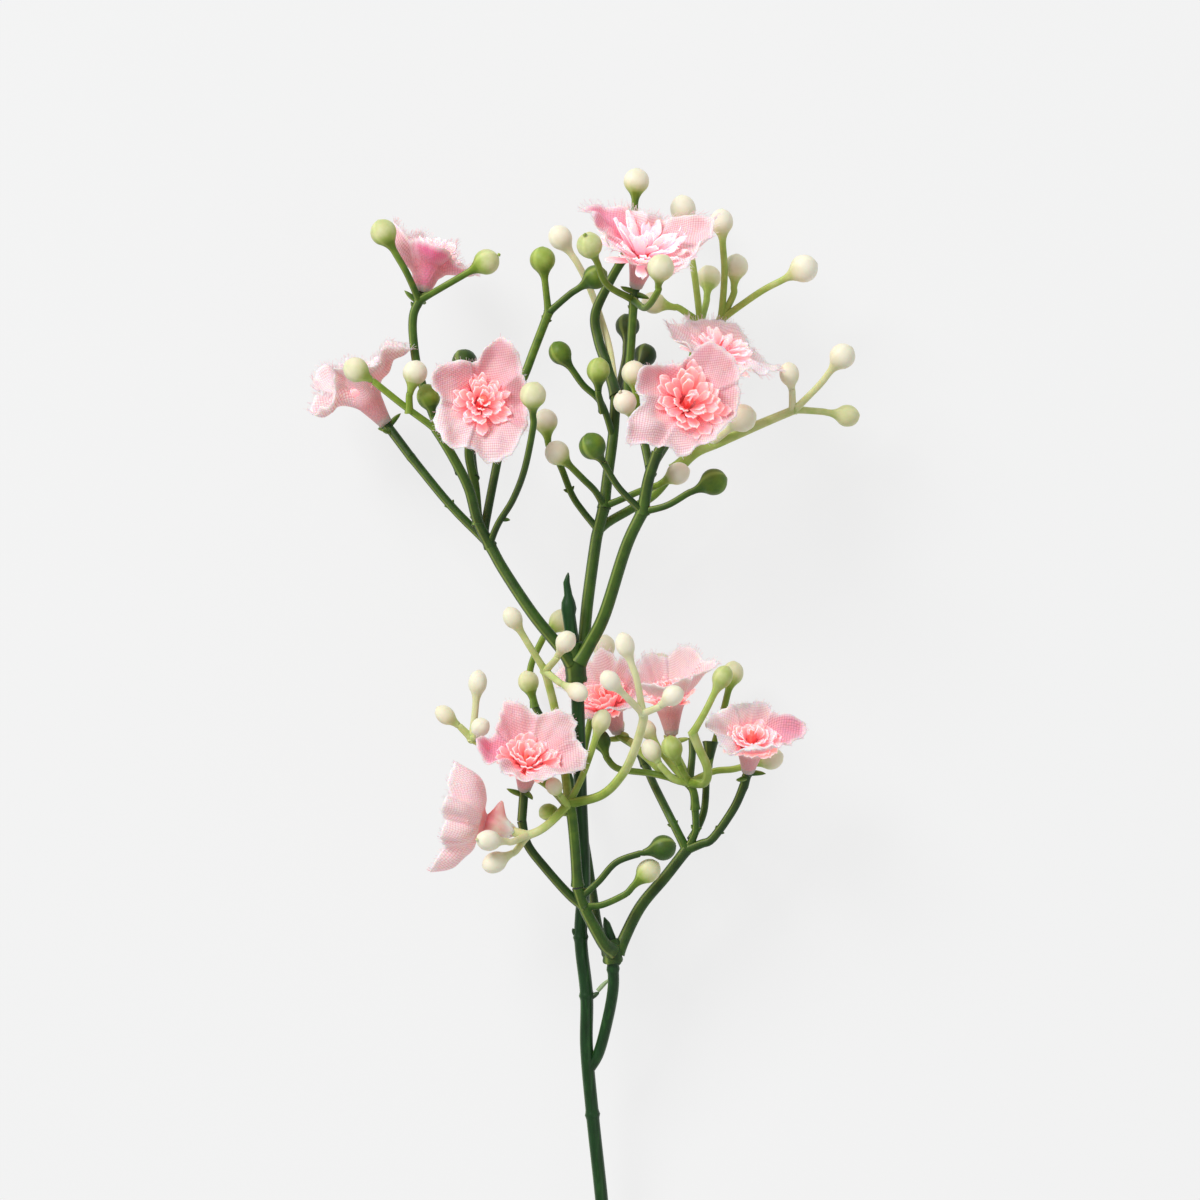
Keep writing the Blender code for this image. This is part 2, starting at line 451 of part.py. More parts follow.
def sunk(route, index):
    """A route whose first place is moved back into what it grows from."""
    points = [Vector(point) for point in route]
    back = (points[0] - points[1]).normalized() * (SINK + SINK_STEP * (index % SINK_TURNS))
    return [points[0] + back] + points[1:]


def bud_tube(name, item, index, collection):
    """A bud and its stalk as one solid."""
    route = sunk(item["route"], index)
    centre = route[-1]
    axis = (centre - route[-2]).normalized()
    reach = item["radius"] * item["stretch"]
    neck = centre - axis * min(BUD_NECK * reach, NECK_SHARE * (centre - route[-2]).length)
    stations = tapered(smooth(route[:-1] + [neck], STALK_TOLERANCE), STALK_ROOT_RADIUS, STALK_RADIUS)
    small = item["radius"] < SMALL_BUD
    stations += [(centre + axis * reach * along, item["radius"] * share)
                 for along, share in (SMALL_PROFILE if small else BUD_PROFILE)]
    return tube(name, stations, SIX_SIDES if small else EIGHT_SIDES, collection)


def spike(name, foot, direction, length, radius, collection):
    """A four-sided spike, such as a barb or a bract."""
    soup = bmesh.new()
    bmesh.ops.create_cone(soup, cap_ends=True, segments=SPIKE_SIDES, radius1=radius * MM,
                          radius2=SPIKE_POINT * radius * MM, depth=length * MM)
    mesh = bpy.data.meshes.new(name)
    soup.to_mesh(mesh)
    soup.free()
    direction = Vector(direction).normalized()
    turn = direction.to_track_quat("Z", "Y").to_matrix().to_4x4()
    centre = place(foot) + direction * (0.5 * length * MM)
    mesh.transform(Matrix.Translation(centre) @ turn)
    return new_object(name, mesh, collection)


def barb_pair(name, where, along, collection):
    """Two barbs on both sides of an arm, pointing out and forward."""
    along = Vector(along).normalized()
    across = along.cross(Vector((0, 0, 1))).normalized()
    return [spike(f"{name}_{side}", where, along * BARB_FORWARD + across * side, BARB_LENGTH, BARB_RADIUS,
                  collection) for side in (-1, 1)]


def bracts(name, item, collection):
    """Three leafy points round the arm just under a bloom."""
    axis = item["axis"]
    aside = axis.orthogonal().normalized()
    found = []
    for index in range(BRACTS):
        outward = Matrix.Rotation(math.radians(360 / BRACTS * index + item["turn"]), 3, axis) @ aside
        foot = item["base"] - axis * (BRACT_BELOW + BRACT_STEP * index)
        direction = outward + axis * BRACT_FORWARD
        found.append(spike(f"{name}_{index}", foot, direction, BRACT_LENGTH, BRACT_RADIUS, collection))
    return found


def boolean(item, operation, collection=None, cutter=None, solver="EXACT"):
    """Add a Boolean modifier to an object."""
    modifier = item.modifiers.new(operation.lower(), "BOOLEAN")
    modifier.operation = operation
    modifier.solver = solver
    if collection:
        modifier.operand_type = "COLLECTION"
        modifier.collection = collection
    else:
        modifier.object = cutter
    return modifier


def fuse(name, pieces, loose, home, material):
    """Join pieces into one body: the first stays, and the others go once they are joined."""
    body = pieces[0]
    loose.objects.unlink(body)
    home.objects.link(body)
    if len(pieces) > 1:
        boolean(body, "UNION", collection=loose, solver="MANIFOLD")
        bpy.context.view_layer.update()
        mesh = baked_mesh(body, name)
        body.modifiers.clear()
        body.data = mesh
        for piece in pieces[1:]:
            bpy.data.objects.remove(piece, do_unlink=True)
    body.name = name
    body.data.name = name
    body.data.materials.clear()
    body.data.materials.append(material)
    return body


def keep_cutter(item, cutters):
    """Put a cutter with the other cutters, drawn as wire and left out of renders."""
    for collection in list(item.users_collection):
        collection.objects.unlink(item)
    cutters.objects.link(item)
    item.hide_render = True
    item.display_type = "WIRE"
    return item


def ringed(places, radius, rings):
    """Stations along the stem, with a low ring at each of the given places along y."""
    stations = []
    for spot in places:
        stations.append((spot, radius))
    for ring in rings:
        index = max(i for i, spot in enumerate(places) if spot.y <= ring)
        low, high = places[index], places[min(index + 1, len(places) - 1)]
        direction = (high - low).normalized()
        centre = low + direction * ((ring - low.y) / direction.y)
        for offset, swell in RING_PROFILE:
            stations.append((centre + direction * offset, radius * swell))
    stations.sort(key=lambda station: station[0].y)
    spaced = [stations[0]]
    for station in stations[1:]:
        if (station[0] - spaced[-1][0]).length > STATION_SPACING:
            spaced.append(station)
    return spaced


def stem_stations(extra):
    """The main stem from its cut end to its tip, with its radius grown by some extra."""
    stations = ringed(smooth(STEM_ROUTE), STEM_RADIUS, STEM_RINGS)
    stations += [(Vector(spot), radius) for spot, radius in STEM_TIP]
    return [(spot, radius + extra) for spot, radius in stations]


def side_stations(extra):
    """The side peg, with its radius grown by some extra."""
    stations = ringed(smooth(SIDE_ROUTE), SIDE_RADIUS, (SIDE_RING,))
    stations += [(Vector(spot), radius) for spot, radius in SIDE_TIP]
    return [(spot, radius + extra) for spot, radius in stations]


def wire_places(start, end):
    """Places along the stem's own axis between two values of y."""
    route = smooth(STEM_ROUTE)
    inside = [spot for spot in route if start + 3.0 < spot.y < end - 1.0]
    ends = []
    for level in (start, end):
        low = max([spot for spot in route if spot.y <= level], key=lambda spot: spot.y, default=route[0])
        high = route[route.index(low) + 1]
        ends.append(low + (high - low) * ((level - low.y) / (high.y - low.y)))
    return [ends[0]] + inside + [ends[1]]


def build_stem(home, loose, cutters, green, steel):
    """The plastic-coated stem with its side peg, and the wire that runs inside it."""
    pieces = [tube("main_stem_body", stem_stations(0.0), EIGHT_SIDES, loose),
              tube("side_peg", side_stations(0.0), EIGHT_SIDES, loose),
              spike("side_barb", (3.2, -20.0, 18.2), (0.6, 1.0, 0.3), 1.8, BARB_RADIUS, loose),
              spike("stem_barb", (-0.6, -29.5, 13.3), (0.8, 0.6, 0.1), 2.0, BARB_RADIUS, loose)]
    stem = fuse("main_stem", pieces, loose, home, green)
    start = STEM_ROUTE[0][1]
    bore = tube("stem_bore", [(spot, WIRE_RADIUS + GAP) for spot in wire_places(start - 2.0, BORE_END)],
                EIGHT_SIDES, cutters)
    boolean(stem, "DIFFERENCE", cutter=keep_cutter(bore, cutters))
    places = wire_places(start + GAP, BORE_END - WIRE_SHORTER)
    wire = tube("stem_wire", [(spot, WIRE_RADIUS) for spot in places], SIX_SIDES, home)
    wire.data.materials.append(steel)
    return stem


def peg_pieces(name, item, collection):
    """The arm that leads to a bloom and the peg that its plug is pushed on."""
    base, axis = item["base"], item["axis"]
    route = [Vector(point) for point in item["from"]] + [base - axis * LEADER_END]
    stations = tapered(smooth(route), ARM_RADIUS, ARM_RADIUS) + [(base - axis * GAP, ARM_RADIUS)]
    leader = tube(name, stations, SIX_SIDES, collection)
    peg = tube(name + "_peg", [(base - axis, PEG_RADIUS), (base + axis * PEG_LENGTH, PEG_RADIUS)],
               SIX_SIDES, collection)
    return [leader, peg]


def build_spray(name, arms, buds, blooms, barbs, leafy, extras, home, loose, material):
    """A moulded spray or cluster: arms, buds, pegs, barbs and bracts fused into one body."""
    pieces = []
    for index, item in enumerate(arms):
        stations = tapered(smooth(sunk(item["route"], index)), item["start"], item["end"])
        pieces.append(tube(f"{name}_arm_{index}", stations, SIX_SIDES, loose))
    pieces += [bud_tube(f"{name}_bud_{index}", item, index, loose) for index, item in enumerate(buds)]
    for index, item in enumerate(blooms):
        pieces += peg_pieces(f"{name}_leader_{index}", item, loose)
    for index, (where, along) in enumerate(barbs):
        pieces += barb_pair(f"{name}_barb_{index}", where, along, loose)
    for index, item in enumerate(leafy):
        pieces += bracts(f"{name}_bract_{index}", item, loose)
    pieces += [tube(f"{name}_extra_{index}", stations, sides, loose)
               for index, (stations, sides) in enumerate(extras)]
    return fuse(name, pieces, loose, home, material)


def joint_peg(end, direction):
    """Stations of the peg that a cluster is pushed on, from inside its arm."""
    end = Vector(end)
    direction = Vector(direction).normalized()
    return [(end - direction, JOINT_PEG_RADIUS), (end + direction * PEG_LENGTH, JOINT_PEG_RADIUS)], SIX_SIDES


def joint_socket(name, end, direction, cutters):
    """Cutter for the blind socket round a joint peg."""
    end = Vector(end)
    direction = Vector(direction).normalized()
    stations = [(end - direction * SOCKET_MOUTH, JOINT_PEG_RADIUS + GAP),
                (end + direction * (PEG_LENGTH + GAP), JOINT_PEG_RADIUS + GAP)]
    return keep_cutter(tube(name, stations, EIGHT_SIDES, cutters), cutters)


# A bloom in its own frame, with its axis along z: the outer layer's lobes
LOBES = 5
LOBE_REACH = (1.0, 0.66, 0.88)
LOBE_WAVE = (0.5, -0.9, 0.2)
HOLE_RADIUS = PLUG_RADIUS + GAP
FOOT_RADIUS = 1.75
FOOT_HEIGHT = 1.0
OUTER_ROOT = (2.3, 4.4)
OUTER_UNDER = (2.65, 4.0)
OUTER_BEND = 3.2
TOP_HEIGHT = 7.3

# Tiers of small petals, each on the valley inside the last layer. Places are radius and
# height, lean is a share of the outer layer's, and reach follows the tier's own lobes.
TIERS = [
    {"valley": (2.1, 5.2), "root": (1.9, 5.9), "length": 4.0, "lean": 0.66, "reach": (1.0, 0.72, 0.92)},
    {"valley": (1.9, 6.5), "root": (1.7, 6.9), "length": 3.4, "lean": 0.40, "reach": (0.78, 1.0, 0.9)},
]
OUTWARD_ROWS = (0, 1, 2, 3, 7, 10)


def blade_tip(root, length, lean):
    """The two corners of a blade's edge, under and over, for a blade that leans outward."""
    centre = (root[0] + length * math.sin(lean), root[1] + length * math.cos(lean))
    half = 0.5 * FABRIC_THICKNESS
    return [(centre[0] + half * math.cos(lean), centre[1] - half * math.sin(lean)),
            (centre[0] - half * math.cos(lean), centre[1] + half * math.sin(lean))]


def bloom_section(step, item, draw):
    """Radius and height of every ring of a bloom's surface at one step round its axis."""
    first, second = (math.radians(angle) for angle in item["leans"])
    phase = step % len(LOBE_REACH)
    wave = LOBE_WAVE[phase] + draw.uniform(-0.25, 0.25)
    bend = blade_tip(OUTER_ROOT, OUTER_BEND, first)
    middle = (OUTER_ROOT[0] + OUTER_BEND * math.sin(first), OUTER_ROOT[1] + OUTER_BEND * math.cos(first))
    length = (item["radius"] - middle[0]) / math.sin(second) * (LOBE_REACH[phase] + draw.uniform(-0.05, 0.05))
    edge = blade_tip((middle[0], middle[1] + wave), length, second)
    section = [(HOLE_RADIUS, FOOT_HEIGHT), (FOOT_RADIUS, FOOT_HEIGHT), OUTER_UNDER, bend[0], edge[0], edge[1],
               bend[1]]
    for tier in TIERS:
        reach = tier["length"] * (tier["reach"][phase] + draw.uniform(-0.06, 0.06))
        section.append(tier["valley"])
        section += blade_tip(tier["root"], reach, second * tier["lean"])
    section.append((HOLE_RADIUS, TOP_HEIGHT))
    return section


def bloom_mesh(name, item, draw):
    """One closed surface: a woven funnel with five waved lobes and three tiers inside it."""
    count = LOBES * len(LOBE_REACH)
    sections = [bloom_section(step, item, draw) for step in range(count)]
    rows = len(sections[0])
    points = []
    for step, section in enumerate(sections):
        angle = 2 * math.pi * step / count
        points += [(radius * math.cos(angle) * MM, radius * math.sin(angle) * MM, height * MM)
                   for radius, height in section]
    faces = []
    for step in range(count):
        here, there = step * rows, (step + 1) % count * rows
        for row in range(rows):
            after = (row + 1) % rows
            a, b, c, d = here + row, there + row, there + after, here + after
            faces += [(a, b, d), (b, c, d)] if row in OUTWARD_ROWS else [(a, b, c), (a, c, d)]
    mesh = bpy.data.meshes.new(name)
    mesh.from_pydata(points, [], faces)
    return mesh


def bloom_frame(item, lift):
    """Matrix from a bloom's own frame, with its axis along z, to the world."""
    axis = item["axis"]
    turn = Matrix.Rotation(math.radians(item["turn"]), 4, "Z")
    origin = place(item["base"] + axis * lift)
    return Matrix.Translation(origin) @ axis.to_track_quat("Z", "Y").to_matrix().to_4x4() @ turn


def turned(name, profile, segments, collection):
    """A turned solid: a profile of radius and height spun round its own z axis."""
    mesh = bpy.data.meshes.new(name)
    edges = [(index, index + 1) for index in range(len(profile) - 1)]
    mesh.from_pydata([(radius * MM, 0.0, height * MM) for radius, height in profile], edges, [])
    holder = new_object(name + "_profile", mesh, collection)
    screw = holder.modifiers.new("turn", "SCREW")
    screw.steps = segments
    screw.render_steps = segments
    screw.use_merge_vertices = True
    screw.merge_threshold = WELD
    bpy.context.view_layer.update()
    solid = baked_mesh(holder, name)
    bpy.data.objects.remove(holder, do_unlink=True)
    soup = bmesh.new()
    soup.from_mesh(solid)
    bmesh.ops.recalc_face_normals(soup, faces=soup.faces)
    soup.to_mesh(solid)
    soup.free()
    return new_object(name, solid, collection)


def build_bloom(index, item, home, fabric, coral):
    """One woven bloom and the plug that holds it on its peg."""
    name = f"bloom_{index:02d}"
    draw = random.Random(index)
    body = new_object(name, bloom_mesh(name, item, draw), home)
    body.matrix_world = bloom_frame(item, item["lift"])
    body.data.materials.append(fabric)
    depth = PEG_LENGTH + GAP
    top = PLUG_LENGTH + item["lift"]
    profile = [(0.0, depth), (PLUG_BORE, depth), (PLUG_BORE, 0.0), (PLUG_RADIUS, 0.0),
               (PLUG_RADIUS, top - PLUG_NOSE), (PLUG_NOSE, top), (0.0, top)]
    plug = turned(name + "_plug", profile, PLUG_SIDES, home)
    plug.matrix_world = bloom_frame(item, 0.0)
    plug.data.materials.append(coral)


def main():
    """Build the whole stem."""
    clear_scene()
    scene_root = bpy.context.scene.collection
    home = new_collection("gypsophila_stem")
    cutters = new_collection("cutters")
    loose = new_collection("loose")

    stem_green = plastic("stem_green", (0.016, 0.054, 0.024), 0.45)
    spray_green = plastic("spray_green", (0.035, 0.105, 0.016), 0.42)
    lime = plastic("cluster_lime", (0.42, 0.47, 0.22), 0.42)
    ivory = plastic("cluster_ivory", (0.68, 0.66, 0.50), 0.4)
    fabric = plastic("petal_pink", (0.85, 0.42, 0.50), 0.85)
    coral = plastic("plug_coral", (0.90, 0.30, 0.26), 0.5)
    steel = plastic("wire_steel", (0.55, 0.56, 0.58), 0.35, 1.0)

    stem = build_stem(home, loose, cutters, stem_green, steel)

    collar = [([(spot, COLLAR_RADIUS) for spot in UPPER_COLLAR], TEN_SIDES)]
    upper = build_spray("upper_spray", UPPER_ARMS, UPPER_BUDS, UPPER_BLOOMS, UPPER_BARBS,
                        [UPPER_BLOOMS[1], UPPER_BLOOMS[4]],
                        collar + [joint_peg(*EDGE_JOINT), joint_peg(*BACK_JOINT)], home, loose, spray_green)

    collar = [([(spot, COLLAR_RADIUS) for spot in LOWER_COLLAR], TEN_SIDES)]
    cups = [(stations, EIGHT_SIDES) for stations in CUPS]
    lower = build_spray("lower_spray", LOWER_ARMS, LOWER_BUDS, LOWER_BLOOMS, LOWER_BARBS, LOWER_BLOOMS,
                        collar + cups + [joint_peg(*FRONT_JOINT), joint_peg(*RIGHT_JOINT)],
                        home, loose, spray_green)

    front = build_spray("lower_front_cluster", FRONT_CLUSTER_ARMS, FRONT_CLUSTER_BUDS, FRONT_BLOOMS,
                        FRONT_BARBS, [], [], home, loose, lime)
    right = build_spray("lower_right_cluster", RIGHT_CLUSTER_ARMS, RIGHT_CLUSTER_BUDS, RIGHT_BLOOMS,
                        RIGHT_BARBS, [], [], home, loose, lime)
    edge = build_spray("upper_edge_cluster", EDGE_CLUSTER_ARMS, EDGE_CLUSTER_BUDS, [], [], [], [],
                       home, loose, ivory)
    back = build_spray("upper_back_cluster", BACK_CLUSTER_ARMS, BACK_CLUSTER_BUDS, BACK_BLOOMS, [], [], [],
                       home, loose, ivory)

    for cluster, name, joint in ((front, "front_socket", FRONT_JOINT), (right, "right_socket", RIGHT_JOINT),
                                 (edge, "edge_socket", EDGE_JOINT), (back, "back_socket", BACK_JOINT)):
        boolean(cluster, "DIFFERENCE", cutter=joint_socket(name, *joint, cutters))
    stem_space = keep_cutter(tube("stem_space", stem_stations(GAP), EIGHT_SIDES, cutters), cutters)
    side_space = keep_cutter(tube("side_space", side_stations(GAP), EIGHT_SIDES, cutters), cutters)
    boolean(upper, "DIFFERENCE", cutter=stem_space)
    boolean(lower, "DIFFERENCE", cutter=side_space)

    bpy.ops.mesh.primitive_cube_add(size=1.0, location=(0.0, 0.0, -0.5 * SURFACE_BLOCK[2]))
    surface = bpy.context.object
    surface.name = "surface_block"
    surface.scale = SURFACE_BLOCK
    keep_cutter(surface, cutters)
    for item in (stem, upper, back):
        boolean(item, "DIFFERENCE", cutter=surface)

    number = 1
    for item in UPPER_BLOOMS + BACK_BLOOMS + LOWER_BLOOMS + FRONT_BLOOMS + RIGHT_BLOOMS:
        build_bloom(number, item, home, fabric, coral)
        number += 1

    root = new_object("stem_root", None, scene_root)
    for item in home.objects:
        item.data.shade_smooth()
        item.data.set_sharp_from_angle(angle=math.radians(SHARP_ANGLE))
        item.parent = root


main()
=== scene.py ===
"""Looks of the artificial gypsophila stem: moulded sprays, woven blooms, floor, light and camera.

Places are in millimetres as in the part's own routes (x across the stem, y towards its tip, z up
from the surface) until a mesh is made. Blooms have a frame of their own, with z along the way
they face, angle 0 towards the right of the picture and heights above the place they sit on.
"""

from __future__ import annotations

import logging
import math
import random
from bisect import bisect_right
from collections.abc import Iterable, Sequence
from dataclasses import dataclass, field
from enum import Enum

import bmesh
import bpy
from bpy.types import Material, Mesh, Node, NodeSocket, NodeTree, Object
from mathutils import Matrix, Vector, noise

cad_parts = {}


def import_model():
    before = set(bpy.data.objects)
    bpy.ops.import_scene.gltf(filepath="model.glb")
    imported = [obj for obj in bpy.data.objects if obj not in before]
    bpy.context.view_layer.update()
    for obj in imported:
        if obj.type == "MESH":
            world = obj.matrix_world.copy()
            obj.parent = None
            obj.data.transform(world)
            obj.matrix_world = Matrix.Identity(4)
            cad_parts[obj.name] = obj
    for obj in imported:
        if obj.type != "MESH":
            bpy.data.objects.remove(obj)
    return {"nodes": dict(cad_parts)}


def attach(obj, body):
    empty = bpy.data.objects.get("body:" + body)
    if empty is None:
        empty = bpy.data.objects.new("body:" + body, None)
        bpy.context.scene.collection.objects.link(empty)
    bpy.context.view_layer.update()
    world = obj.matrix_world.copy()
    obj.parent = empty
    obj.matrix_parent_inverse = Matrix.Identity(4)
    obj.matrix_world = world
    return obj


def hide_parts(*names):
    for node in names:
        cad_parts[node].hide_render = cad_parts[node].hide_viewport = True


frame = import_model()

LOG = logging.getLogger("gypsophila")
MM = 0.001
# Middle of the part's box, on the surface, in the millimetres of the routes
BOX_CENTRE = Vector((-0.879, -0.256, 0.0))
SHEET_WIDTH = 48.0
FIRST_SEED = 3
PARTING_SHARPNESS = 40.0
CLOSEST = 0.02
STALK_RADIUS = 0.58
STALK_FLARE = 0.45
# Neck length, join and nib are shares of a bud's own size
NECK_LENGTH = 1.75
NECK_JOIN = 0.74
NECK_STEPS = 8
BUD_STEPS = 12
NIB = ((1.0, 0.2), (1.12, 0.17), (1.22, 0.06))
SPIKE_STEPS = 8
WHITE = (1.0, 1.0, 1.0, 1.0)
Spot = tuple[float, float, float]
Pair = tuple[float, float]


class Slot(str, Enum):
    """The record's material slots."""

    STEM = "stem_green"
    SPRAY = "spray_green"
    LIME = "cluster_lime"
    IVORY = "cluster_ivory"
    PETAL = "petal_pink"
    PLUG = "plug_coral"


class Form(Enum):
    """How a bloom's sheet opens above its foot."""

    TRUMPET = "trumpet"
    BOWL = "bowl"


class Heart(Enum):
    """The kind of small petals in a bloom's heart."""

    TONGUES = "tongues"
    PLATES = "plates"


@dataclass(frozen=True)
class Arm:
    """An arm of a moulding: its radius and tone at both ends and the places it runs through."""

    radii: Pair
    tones: Pair
    route: tuple[Spot, ...]


@dataclass(frozen=True)
class Bud:
    """A bud on its stalk: radius, length over width, tone at root and tip, and route."""

    radius: float
    stretch: float
    tones: Pair
    route: tuple[Spot, ...]
    nib: bool = False


@dataclass(frozen=True)
class Lobe:
    """A petal of a bloom's outer layer: its direction, lean from the axis and cupped sides.

    A flush over 0 is a deep pink tip, one under 0 a paler petal, and the last number paints a greyer pink on
    the petal's outer part as painted shade.
    """

    angle: float
    lean: float
    cup: float = 0.3
    flush: float = 0.0
    painted_shade: float = 0.0

    def towards(self, other: Lobe, share: float) -> Lobe:
        """The petal as it is some way towards another one.

        Args:
            other: The other petal.
            share: How far towards it, from 0 to 1.

        Returns:
            The petal between them.
        """
        mine = (self.lean, self.cup, self.flush, self.painted_shade)
        theirs = (other.lean, other.cup, other.flush, other.painted_shade)
        return Lobe(self.angle, *(blend(first, second, share) for first, second in zip(mine, theirs)))


def arm(start: float, end: float, first: float, last: float, *route: Spot) -> Arm:
    """An arm from its two radii, its two tones and its route."""
    return Arm((start, end), (first, last), route)


def bud(radius: float, stretch: float, first: float, last: float, *route: Spot, nib: bool = False) -> Bud:
    """A bud from its radius, its stretch, its two tones and its route."""
    return Bud(radius, stretch, (first, last), route, nib)


STEM_ROUTE = (
    (7.5, -110.5, 0.95), (5, -93.5, 3.5), (3, -76.5, 6.1), (2, -65.5, 7.8), (0.5, -51.5, 9.9),
    (-0.5, -40, 11.7), (-0.5, -31, 13.1), (-1.5, -21, 14.6), (-1, -11, 16.1), (-1.5, 2.5, 18.2),
    (-2, 19.5, 20.8), (-2.5, 26.5, 21.9), (-3.5, 34, 23),
)
STEM_TIP = (((-3.5, 35, 23.1), 1.3), ((-3.6, 36.2, 23.3), 1.15), ((-3.6, 37.4, 23.4), 0.68),
            ((-3.9, 39.5, 23.8), 0.55), ((-3.7, 40.6, 24), 0.3), ((-3.6, 41.2, 24), 0.06))
SIDE_ROUTE = ((-0.3, -44, 11.1), (1.5, -41, 11.8), (3, -35.5, 13.7), (4, -30, 16), (4, -26, 17.5),
              (3.5, -21, 18))
SIDE_TIP = (((2.9, -18.6, 18.1), 0.6), ((2.5, -17.5, 18.2), 0.08))

# Places where the arms of a moulding part or end in a tuft of buds
LEFT_FORK = (-17, 46, 22)
LEFT_TOP = (-29, 87.5, 19.5)
INNER_TOP = (-7, 85.5, 18)
LOW_FORK = (1.5, 48.5, 20)
MAIN_FORK = (2.5, 52.5, 21)
HIGH_FORK = (4.5, 71.5, 18)
MIDDLE_TOP = (5.5, 94.5, 14.5)
RIGHT_FORK = (9, 51.5, 30)
BLOOM_TOP = (7.5, 87.5, 23)
LOWER_LEFT = (-1, -15.5, 22.5)
LOWER_FORK = (16.5, -6, 18)
LOWER_BACK = (-9.5, 18.5, 4.5)
LOWER_MIDDLE = (1.5, 21, 3)
FRONT_FORK = (-3.5, 2, 27)
FRONT_LEFT = (-10.5, -3.3, 29)
FRONT_HIGH = (9, 17.5, 41)
FRONT_MIDDLE = (-7.5, 24.5, 25.5)
FRONT_FAR = (-20, 13, 22)
CLUSTER_FORK = (17, 5.5, 20)
EDGE_FORK = (35, 69, 18)
BACK_ROOT = (16.5, 69.5, 18)
BACK_HIGH = (22.5, 84.5, 14)
BACK_LOW = (19, 84, 8.5)

UPPER_ARMS = (
    arm(1.05, 0.95, 0.16, 0.14, (-3.4, 26.3, 22.6), (-5, 28.5, 23.7), (-9.5, 34, 23.5), (-14.5, 41.5, 22.5),
        LEFT_FORK),
    arm(0.75, 0.75, 0.12, 0.16, LEFT_FORK, (-23.5, 52.5, 21), (-30.5, 61, 19.5)),
    arm(0.95, 0.8, 0.12, 0.24, LEFT_FORK, (-19, 50, 24), (-20.5, 55.5, 27), (-23, 60.5, 29),
        (-26, 65.5, 30)),
    arm(0.75, 0.75, 0.14, 0.22, (-22, 58.5, 28), (-26, 66.5, 22), (-29, 75, 20), (-30, 81, 19.5),
        (-30, 85, 19.5), LEFT_TOP),
    arm(0.85, 0.75, 0.22, 0.2, (-19, 49.5, 23.7), (-19.5, 56, 22), (-20.5, 61.5, 23), (-19.8, 65.5, 25)),
    arm(0.75, 0.75, 0.1, 0.3, (-18, 48, 22.8), (-16, 58.5, 20.5), (-14, 68, 20), (-11, 75, 19),
        (-9.5, 79, 18), INNER_TOP),
    arm(1.05, 1, 0.22, 0.16, (-1.7, 26.4, 21.4), (-1, 29.5, 20.6), (-0.3, 36.5, 20), (1, 46, 20), LOW_FORK,
        MAIN_FORK),
    arm(0.8, 0.75, 0.2, 0.35, LOW_FORK, (3.5, 50, 19), (7, 52, 18), (11, 54.5, 17), (14, 58, 16.5)),
    arm(0.95, 0.9, 0.2, 0.14, MAIN_FORK, (3, 57, 20), (4, 64.5, 19), HIGH_FORK),
    arm(1, 0.75, 0.12, 0.18, HIGH_FORK, (3, 76.5, 15), (1.5, 81, 13.5), (1, 85.5, 13), (3.5, 91, 13.5),
        MIDDLE_TOP),
    arm(1.15, 1, 0.2, 0.18, (-1.6, 26.3, 22.8), (0, 29, 23.4), (2.5, 34, 25), (5.5, 43.5, 28),
        (7, 47.5, 29.5), RIGHT_FORK),
    arm(1, 0.95, 0.18, 0.1, RIGHT_FORK, (10, 57, 31), (11.5, 61.5, 31.5)),
    arm(0.75, 0.75, 0.14, 0.25, (10.4, 58, 31), (8.5, 66.5, 26), (6.5, 72, 22.5), (7, 79, 22.5), BLOOM_TOP),
    arm(0.75, 0.75, 0.14, 0.2, (10.5, 59, 31), (13, 63, 25.5), (14.5, 65.8, 22.5)),
)
